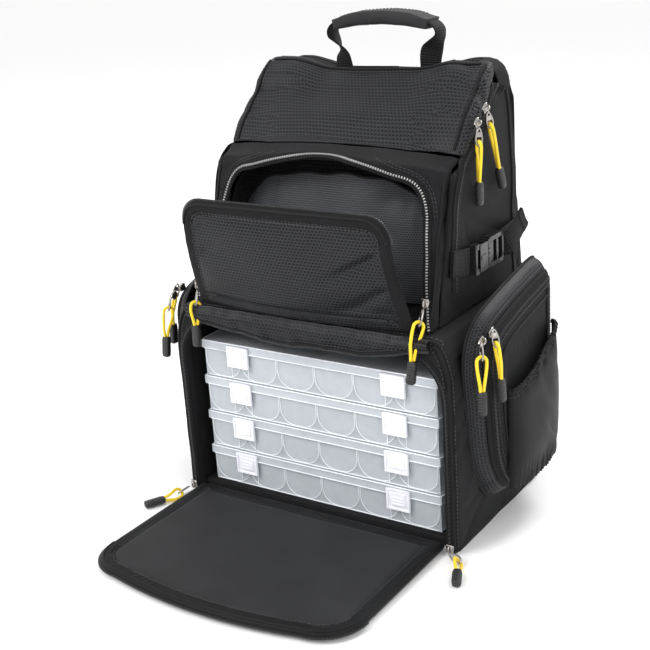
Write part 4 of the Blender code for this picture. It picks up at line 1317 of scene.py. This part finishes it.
def make_bottle_pocket(name, side):
    """A stretch pouch gathered at its foot and along its elastic rim."""
    build = Build()
    rings = []
    cloth = []
    rim = []
    near, far = -0.056, 0.044
    steps = 64
    for layer in (0, 1):
        for k in range(31):
            s = k / 30 if layer == 0 else 1.0 - k / 30
            ring = []
            for i in range(steps + 1):
                angle = math.pi * i / steps
                t = (1.0 - math.cos(angle)) / 2.0
                y = near + (far - near) * t
                top = 0.149 + 0.037 * t - 0.004 * math.sin(math.pi * t)
                z = 0.0505 + (top - 0.0505) * s
                bow = 0.0065 + 0.0105 * math.sin(math.pi * min(1.0, 0.12 + s * 0.80)) ** 0.7
                reach = bow * math.sin(angle) ** 0.6
                rim_gather = 0.0011 * math.sin(46.0 * t * math.pi) * ease((s - 0.80) / 0.2)
                foot_gather = 0.0012 * math.sin(34.0 * t * math.pi + 1.0) * ease((0.30 - s) / 0.3)
                rear = ease((t - 0.35) / 0.4)
                fold = 0.0022 * crease((y, 0.0, z + 0.9 * y), (10.0, 1.0, 30.0), 2.0) * rear
                soft = 0.0009 * ripple((y, 0.0, z), (30.0, 1.0, 22.0), 5.0)
                reach += (rim_gather + foot_gather + soft - fold) * math.sin(angle)
                reach = max(0.0003, reach - 0.0013 * layer)
                ring.append(Vector((side * (SIDE_COVER + 0.0003 + reach), y, z)))
            rings.append(ring)
            cloth.append([(i * 0.002, s * 0.11) for i in range(steps + 1)])
            if layer == 0 and k == 30:
                rim = [p.copy() for p in ring]
    skin_rows(build, rings, cloth)
    rolled = []
    for i, p in enumerate(rim):
        rolled.append(p + Vector((side * 0.0002, 0, 0.0006 + 0.0004 * math.sin(i * 2.3))))
    radius = [0.0023 + 0.0003 * math.sin(i * 1.9) for i in range(len(rolled))]
    build.tube(rolled, radius, 10, 1)
    outs = [Vector((side * 0.8, -0.4 + 0.8 * i / steps, 0)).normalized() for i in range(steps + 1)]
    stitch_row(build, [p - UP * 0.0050 + n * 0.0010 for p, n in zip(rim, outs)], outs, 0.0, 2)
    pouch = build.piece(f"stretch_pouch_{name}", [STRETCH, BINDING, THREAD], f"side_cover_{name}", "woven")
    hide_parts(f"bottle_pocket_{name}")


def skin_rows(build, rings, cloth):
    """Join open rows: up the outer side, over the rim and down the inner side."""
    start = len(build.points)
    size = len(rings[0])
    for ring, row in zip(rings, cloth):
        build.points += [tuple(p) for p in ring]
        build.cloth += row
    for k in range(len(rings)):
        after = (k + 1) % len(rings)
        for i in range(size - 1):
            a, b = start + k * size, start + after * size
            build.add_face((a + i, a + i + 1, b + i + 1, b + i))
    half = len(rings) // 2
    for k in range(half - 1):
        mirror = len(rings) - 1 - k
        for i in (0, size - 1):
            a, b = start + k * size + i, start + (k + 1) * size + i
            c, d = start + (mirror - 1) * size + i, start + mirror * size + i
            build.add_face((a, b, c, d))


# ---- straps and buckles ----
def make_side_strap(name, side):
    height = STRAP_HEIGHT
    out = Vector((side, 0, 0))
    stub = Build()
    path = [(0.1376, -0.0660, 0.005), (0.1382, -0.050, 0.002), (0.1400, -0.0345, 0.0)]
    points = smooth_path([(side * a, b, height + c) for a, b, c in path], 0.003)
    stub.strip(points, out, WEBBING_WIDTH, 0.0018)
    stub.strip([p + out * 0.0017 for p in points[:-3]], out, WEBBING_WIDTH - 0.0006, 0.0016)
    lock = [points[2] + out * 0.0026 + UP * z for z in (-0.0095, 0.0095)]
    stitch_row(stub, resample(lock, 0.004), [out] * 6, 0.0, 1)
    piece = stub.piece(f"strap_stub_{name}", [WEBBING, THREAD], "bag", "webbing")
    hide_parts(f"strap_front_{name}")
    tail = Build()
    path = [(0.1374, 0.080, 0.003), (0.1386, 0.050, 0.001), (0.1396, 0.0345, 0.0), (0.1430, 0.0310, 0.0)]
    path += [(0.1475, 0.0330, 0.002), (0.1510, 0.0410, 0.008), (0.1545, 0.0560, 0.022)]
    points = smooth_path([(side * a, b, height + c) for a, b, c in path], 0.0025)
    normals = []
    for i, p in enumerate(points):
        run = (points[min(i + 1, len(points) - 1)] - points[max(i - 1, 0)]).normalized()
        turn = ease((p.x * side - 0.1430) / 0.012)
        wide = (UP - Vector((0, 1, 0)) * 0.6 * turn).normalized()
        normals.append(wide.cross(run).normalized())
    tail.strip(points, normals, WEBBING_WIDTH, 0.0017)
    end = points[-1]
    wide = (UP - Vector((0, 1, 0)) * 0.6).normalized()
    hem = (points[-1] - points[-3]).normalized()
    size = (WEBBING_WIDTH - 0.001, 0.008, 0.0030)
    tail.block(end - hem * 0.004, (wide, hem, wide.cross(hem)), size, 0, 0.05)
    piece = tail.piece(f"strap_tail_{name}", [WEBBING], f"buckle_{name}", "webbing")
    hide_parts(f"strap_adjuster_{name}")
    make_buckle(name, side, height)


def make_buckle(name, side, height):
    """A side-release buckle: open-sided socket, and a plug with two prongs and a slotted bar."""
    out = Vector((side, 0, 0))
    back = Vector((0, 1, 0))

    def at(y, z, x=0.1421):
        return Vector((side * x, y, height + z))

    socket = Build()
    for shift, deep in ((0.0040, 0.0016), (-0.0040, 0.0016)):
        socket.block(at(-0.0165, 0.0) + out * shift, (back, UP, out), (0.0160, 0.0270, deep), 0, 0.08)
    for z in (-0.0118, 0.0118):
        socket.block(at(-0.0280, z), (back, UP, out), (0.0078, 0.0052, 0.0084), 0, 0.15)
    socket.block(at(-0.0302, 0.0), (UP, back, out), (0.0280, 0.0034, 0.0074), 0, 0.1)
    socket.block(at(-0.0228, 0.0), (UP, back, out), (0.0280, 0.0034, 0.0088), 0, 0.1)
    socket.block(at(-0.0098, 0.0), (UP, back, out), (0.0260, 0.0030, 0.0092), 0, 0.1)
    socket.block(at(-0.0165, 0.0) + out * 0.0050, (back, UP, out), (0.0120, 0.0050, 0.0008), 0, 0.25)
    piece = socket.piece(f"clip_socket_{name}", [PLASTIC], "bag", "plastic")
    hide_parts(f"buckle_socket_{name}")
    plug = Build()
    plug.block(at(-0.0040, 0.0), (UP, back, out), (0.0276, 0.0056, 0.0090), 0, 0.12)
    for z in (-0.0127, 0.0127):
        plug.block(at(0.0120, z), (back, UP, out), (0.0280, 0.0042, 0.0078), 0, 0.12)
    for y, deep in ((0.0050, 0.0050), (0.0145, 0.0066), (0.0255, 0.0080)):
        plug.block(at(y, 0.0), (UP, back, out), (0.0272, 0.0040, deep), 0, 0.12)
    for z in (-0.0050, 0.0, 0.0050):
        plug.block(at(-0.0040, z) + out * 0.0047, (back, UP, out), (0.0040, 0.0012, 0.0007), 0, 0.2)
    piece = plug.piece(f"clip_plug_{name}", [PLASTIC], f"buckle_{name}", "plastic")
    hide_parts(f"buckle_plug_{name}")


# ---- handle ----
HANDLE_Y = 0.069


def crest(x):
    return 0.4745 - 1.6 * x * x


def wrap_shape(p, n):
    """The sleeve reaches past its foam and droops at both ends."""
    out = ease((abs(p.x) - 0.030) / 0.018)
    reach = math.copysign(0.0075 * out, p.x)
    return Vector((reach, 0.0, -0.0035 * out)) + n * (0.0006 * ripple(p, (70, 40, 60), 3.0) - 0.0012 * out)


def make_handle():
    right = [(0.050, 0.4225, 0), (0.0515, 0.4385, 20), (0.056, 0.4480, 60), (0.062, 0.4570, 90)]
    right += [(0.0605, 0.4645, 90), (0.051, crest(0.051), 90), (0.025, crest(0.025), 90)]
    points = [(x, z, turn) for x, z, turn in right] + [(0.0, crest(0.0), 90)]
    points += [(-x, z, 180 - turn) for x, z, turn in reversed(right)]
    path = smooth_path([(x, HANDLE_Y, z) for x, z, _ in points], 0.002)
    keys = [Vector((x, HANDLE_Y, z)) for x, z, _ in points]
    marks = [0.0]
    for a, b in zip(keys, keys[1:]):
        marks.append(marks[-1] + (b - a).length)
    build = Build()
    normals = []
    run = 0.0
    for i, p in enumerate(path):
        run += (p - path[i - 1]).length if i else 0.0
        share = run / (marks[-1] * 1.02)
        angle = math.radians(float(np.interp(share * marks[-1], marks, [t for _, _, t in points])))
        wide = Vector((math.cos(angle), math.sin(angle), 0.0))
        along = (path[min(i + 1, len(path) - 1)] - path[max(i - 1, 0)]).normalized()
        wide = (wide - along * wide.dot(along)).normalized()
        normals.append(wide.cross(along).normalized())
    build.strip(path, normals, 0.022, 0.0019)
    piece = build.piece("handle_strap", [WEBBING], "handle", "webbing")
    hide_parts("handle_webbing")
    mesh = soft_mesh("handle_grip", 0.0018, 3, wrap_shape, (3.0, 0.0012))
    grip = add_mesh("handle_wrap", mesh, [LINING], "handle")
    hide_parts("handle_grip")
    skin = Skin(grip)
    trim = Build()
    for y in (-0.0112, 0.0112):
        line = [(x, HANDLE_Y + y, crest(x) + 0.008) for x in (-0.045, -0.022, 0.0, 0.022, 0.045)]
        laid, outs = skin.lay(smooth_path(line, 0.004), (0, 0, -1))
        stitch_row(trim, laid, outs, 0.0, 0)
    for x in (-0.0440, 0.0440):
        line = [(x, HANDLE_Y + y, crest(x) + 0.008) for y in (-0.0118, 0.0, 0.0118)]
        laid, outs = skin.lay(smooth_path(line, 0.003), (0, 0, -1))
        stitch_row(trim, laid, outs, 0.0, 0)
    trim.piece("handle_stitching", [THREAD], "handle", "woven")


# ---- zip pulls ----
def make_slider(name, body, spot, along, out):
    """Zip slider: one rounded body, and a bridge for the tab."""
    along = along.normalized()
    out = out.normalized()
    across = along.cross(out).normalized()
    build = Build()
    rings = []
    outline = [(-0.0045, 0.0026), (-0.0020, 0.0036), (0.0018, 0.0042), (0.0045, 0.0034)]
    outline += [(0.0045, -0.0034), (0.0018, -0.0042), (-0.0020, -0.0036), (-0.0045, -0.0026)]
    for level, grow in ((-0.0006, 0.9), (0.0, 1.0), (0.0010, 1.0), (0.0016, 0.88)):
        rings.append([spot + along * a * grow + across * b * grow + out * level for a, b in outline])
    build.skin(rings)
    arch_points = []
    for i in range(9):
        angle = math.pi * i / 8
        height = 0.0014 + 0.0030 * math.sin(angle)
        arch_points.append(spot + along * (0.0036 * math.cos(angle)) + out * height)
    build.tube(arch_points, 0.0009, 8)
    build.piece(f"slider_{name}", [NICKEL], body, "pull")


def make_pull(name, path, wide, slider):
    """Nickel tab, yellow cord looped through it and a ribbed rubber grip."""
    body = f"pull_{name}"
    points = [Vector(p) for p in path]
    lengths = [0.0]
    for a, b in zip(points, points[1:]):
        lengths.append(lengths[-1] + (b - a).length)
    total = lengths[-1]

    def at(distance):
        distance = min(max(distance, 0.0), total)
        for i in range(len(points) - 1):
            if distance <= lengths[i + 1] + 1e-9:
                return points[i].lerp(points[i + 1], (distance - lengths[i]) / (lengths[i + 1] - lengths[i]))
        return points[-1]

    def axes(distance):
        run = (at(distance + 0.002) - at(distance - 0.002)).normalized()
        side = (Vector(wide) - run * Vector(wide).dot(run)).normalized()
        return run, side, run.cross(side).normalized()

    run, side, thin = axes(TAB_LENGTH / 2)
    plane = (side * 0.77 + thin * 0.64).normalized()
    ring = []
    for i in range(28):
        angle = 2.0 * math.pi * i / 28
        s = (1.0 - math.cos(angle)) / 2.0
        half = 0.0021 + 0.0017 * s
        ring.append(at(0.0) + run * (0.0004 + 0.0160 * s) + plane * half * math.sin(angle))
    tab = Build()
    tab.tube(ring, 0.00085, 8, closed=True)
    tab.block(at(0.0) + run * 0.0060, (run, plane, run.cross(plane)), (0.0046, 0.0050, 0.0013), 0, 0.1)
    tab.piece(f"tab_{name}", [NICKEL], body, "pull")

    top = total - GRIP_LENGTH
    eye = TAB_LENGTH - 0.0048
    run, side, thin = axes(TAB_LENGTH)
    loop = (side * 0.64 - thin * 0.77).normalized()
    radius = 0.0049
    strand = []
    for k in range(9):
        s = k / 8
        distance = top + 0.0030 + (eye + radius - top - 0.0030) * s
        spread = 0.0014 + (radius - 0.0014) * ease(s * 1.02)
        strand.append((distance, spread))
    bend = [(eye + radius - radius * math.sin(a), radius * math.cos(a))
            for a in (math.radians(20.0 * i) for i in range(1, 9))]
    centre = [at(d) + loop * s for d, s in strand + bend]
    centre += [at(d) - loop * s for d, s in reversed(strand)]
    curve = bpy.data.curves.new(f"cord_{name}", "CURVE")
    curve.dimensions = "3D"
    spline = curve.splines.new("POLY")
    fine = smooth_path(centre, 0.0009)
    spline.points.add(len(fine) - 1)
    for point, place in zip(spline.points, fine):
        point.co = (*place, 1.0)
    curve.bevel_depth = CORD / 2
    curve.bevel_resolution = 3
    curve.use_fill_caps = True
    curve.materials.append(YELLOW)
    cord = bpy.data.objects.new(f"cord_{name}", curve)
    bpy.context.scene.collection.objects.link(cord)
    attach(cord, body)

    grip = Build()
    rings = []
    stations = [(0.0, 0.62), (0.0006, 0.86), (0.0024, 0.92)]
    for k in range(6):
        start = 0.0034 + 0.0026 * k
        stations += [(start, 0.90), (start + 0.0005, 1.0), (start + 0.0015, 1.0), (start + 0.0020, 0.90)]
    stations += [(0.0196, 0.94), (0.0212, 0.88), (0.0220, 0.66)]
    for along, size in stations:
        run, side, thin = axes(top + along)
        half_wide, half_thin = 0.0046 * size, 0.0038 * size
        ring = []
        for i in range(20):
            angle = 2.0 * math.pi * i / 20
            c, s = math.cos(angle), math.sin(angle)
            ring.append(at(top + along) + side * half_wide * math.copysign(abs(c) ** 0.65, c)
                        + thin * half_thin * math.copysign(abs(s) ** 0.65, s))
        rings.append(ring)
    grip.skin(rings)
    piece = grip.piece(f"grip_{name}", [RUBBER], body, "pull")
    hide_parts(body)
    make_slider(name, *slider)


def make_pulls():
    across = (1.0, 0.0, 0.0)
    depth = (0.0, 1.0, 0.0)
    right = Vector((1, 0, 0))
    zip_run_up = Vector((0.0, 0.75, 0.50))
    make_pull("main_1", [(0.1412, -0.0110, 0.3835), (0.1412, -0.0140, 0.3120)], depth,
              ("bag", Vector((0.1385, -0.0105, 0.3875)), zip_run_up, right))
    make_pull("main_2", [(0.1412, 0.0080, 0.3945), (0.1412, 0.0365, 0.3180)], depth,
              ("bag", Vector((0.1385, 0.0070, 0.3980)), zip_run_up, right))
    for name, side, top in (("pocket_left", -1.0, 0.2300), ("pocket_right", 1.0, 0.2420)):
        y = PLANE_FOOT[0] + (top - PLANE_FOOT[1]) * math.tan(LEAN) - 0.0008
        path = [(side * 0.1285, y - 0.0045, top - 0.0040), (side * 0.1250, -0.1185, 0.2060)]
        path.append((side * 0.1230, -0.1225, 0.1712))
        make_pull(name, path, across, ("bag", Vector((side * 0.1290, y - 0.0012, top)), UP, FRONTWARD))
    for name, side in SIDES:
        out = Vector((side, 0, 0))
        path = [(side * 0.1790, -0.0915, 0.2085), (side * 0.1830, -0.1000, 0.1730)]
        path.append((side * 0.1840, -0.1030, 0.1440))
        slope = Vector((0.0, -0.7, -0.6))
        make_pull(f"side_{name}_1", path, across,
                  ("bag", Vector((side * 0.1768, -0.0880, 0.2085)), slope, out))
        path = [(side * 0.1830, -0.0745, 0.2165), (side * 0.1905, -0.0790, 0.1850)]
        path.append((side * 0.1925, -0.0790, 0.1500))
        make_pull(f"side_{name}_2", path, depth,
                  (f"side_cover_{name}", Vector((side * 0.1788, -0.0720, 0.2120)), Vector((0, 1, 0.3)), out))
    for name, side, middle, end in (("door_left", -1.0, (0.1580, -0.1470), (0.1730, -0.1740)),
                                    ("door_right", 1.0, (0.1680, -0.1270), (0.1850, -0.1640))):
        path = [(side * 0.1560, -0.1215, 0.0060), (side * middle[0], middle[1], 0.0050)]
        path.append((side * end[0], end[1], 0.0046))
        run = Vector(path[2]) - Vector(path[0])
        make_pull(name, path, (run.y, -run.x, 0.0),
                  ("bag", Vector((side * 0.1535, -0.1150, 0.0070)), UP, FRONTWARD))


# ---- floor, light and camera ----
def make_stage():
    world = bpy.data.worlds.new("studio")
    bpy.context.scene.world = world
    world.use_nodes = True
    world.node_tree.nodes["Background"].inputs["Color"].default_value = (1.0, 1.0, 1.0, 1.0)
    world.node_tree.nodes["Background"].inputs["Strength"].default_value = 1.02
    mesh = bpy.data.meshes.new("studio_floor")
    size = 60.0
    corners = [(-size, -size, 0), (size, -size, 0), (size, size, 0), (-size, size, 0)]
    mesh.from_pydata(corners, [], [(0, 1, 2, 3)])
    floor = bpy.data.objects.new("studio_floor", mesh)
    look = bpy.data.materials.new("studio_floor")
    look.use_nodes = True
    look.node_tree.nodes["Principled BSDF"].inputs["Base Color"].default_value = (0.93, 0.93, 0.93, 1.0)
    look.node_tree.nodes["Principled BSDF"].inputs["Roughness"].default_value = 0.9
    mesh.materials.append(look)
    bpy.context.scene.collection.objects.link(floor)
    target = Vector((0.0, -0.08, 0.22))
    lamps = (
        ("key", (-0.9, -1.5, 1.7), 1.0, 26.0),
        ("fill", (1.7, -0.9, 1.1), 1.2, 9.0),
        ("rim", (0.4, 1.2, 1.7), 0.8, 22.0),
    )
    for name, place, size, power in lamps:
        light = bpy.data.lights.new(name, "AREA")
        light.energy = power
        light.size = size
        lamp = bpy.data.objects.new(name, light)
        lamp.location = place
        lamp.rotation_euler = (target - Vector(place)).to_track_quat("-Z", "Y").to_euler()
        bpy.context.scene.collection.objects.link(lamp)


def make_camera():
    camera = bpy.data.cameras.new("camera")
    camera.lens = 66.46
    camera.sensor_width = 36.0
    holder = bpy.data.objects.new("camera", camera)
    right = Vector((0.83645, 0.54432, -0.06373))
    up = Vector((-0.12972, 0.30961, 0.94197))
    back = right.cross(up).normalized()
    turn = Matrix((right, up, back)).transposed()
    holder.matrix_world = Matrix.Translation((0.62679, -0.99026, 0.58254)) @ turn.to_4x4()
    bpy.context.scene.collection.objects.link(holder)
    bpy.context.scene.camera = holder
    bpy.context.scene.view_settings.view_transform = "Standard"


make_camera()
make_stage()
make_pulls()
make_bay()
make_door()
make_boxes()
make_front()
make_pocket()
make_flap()
make_top()
make_rear()
make_back()
for name, side in SIDES:
    make_side(name, side)
    make_side_strap(name, side)
    make_shoulder_strap(name, side)
make_handle()
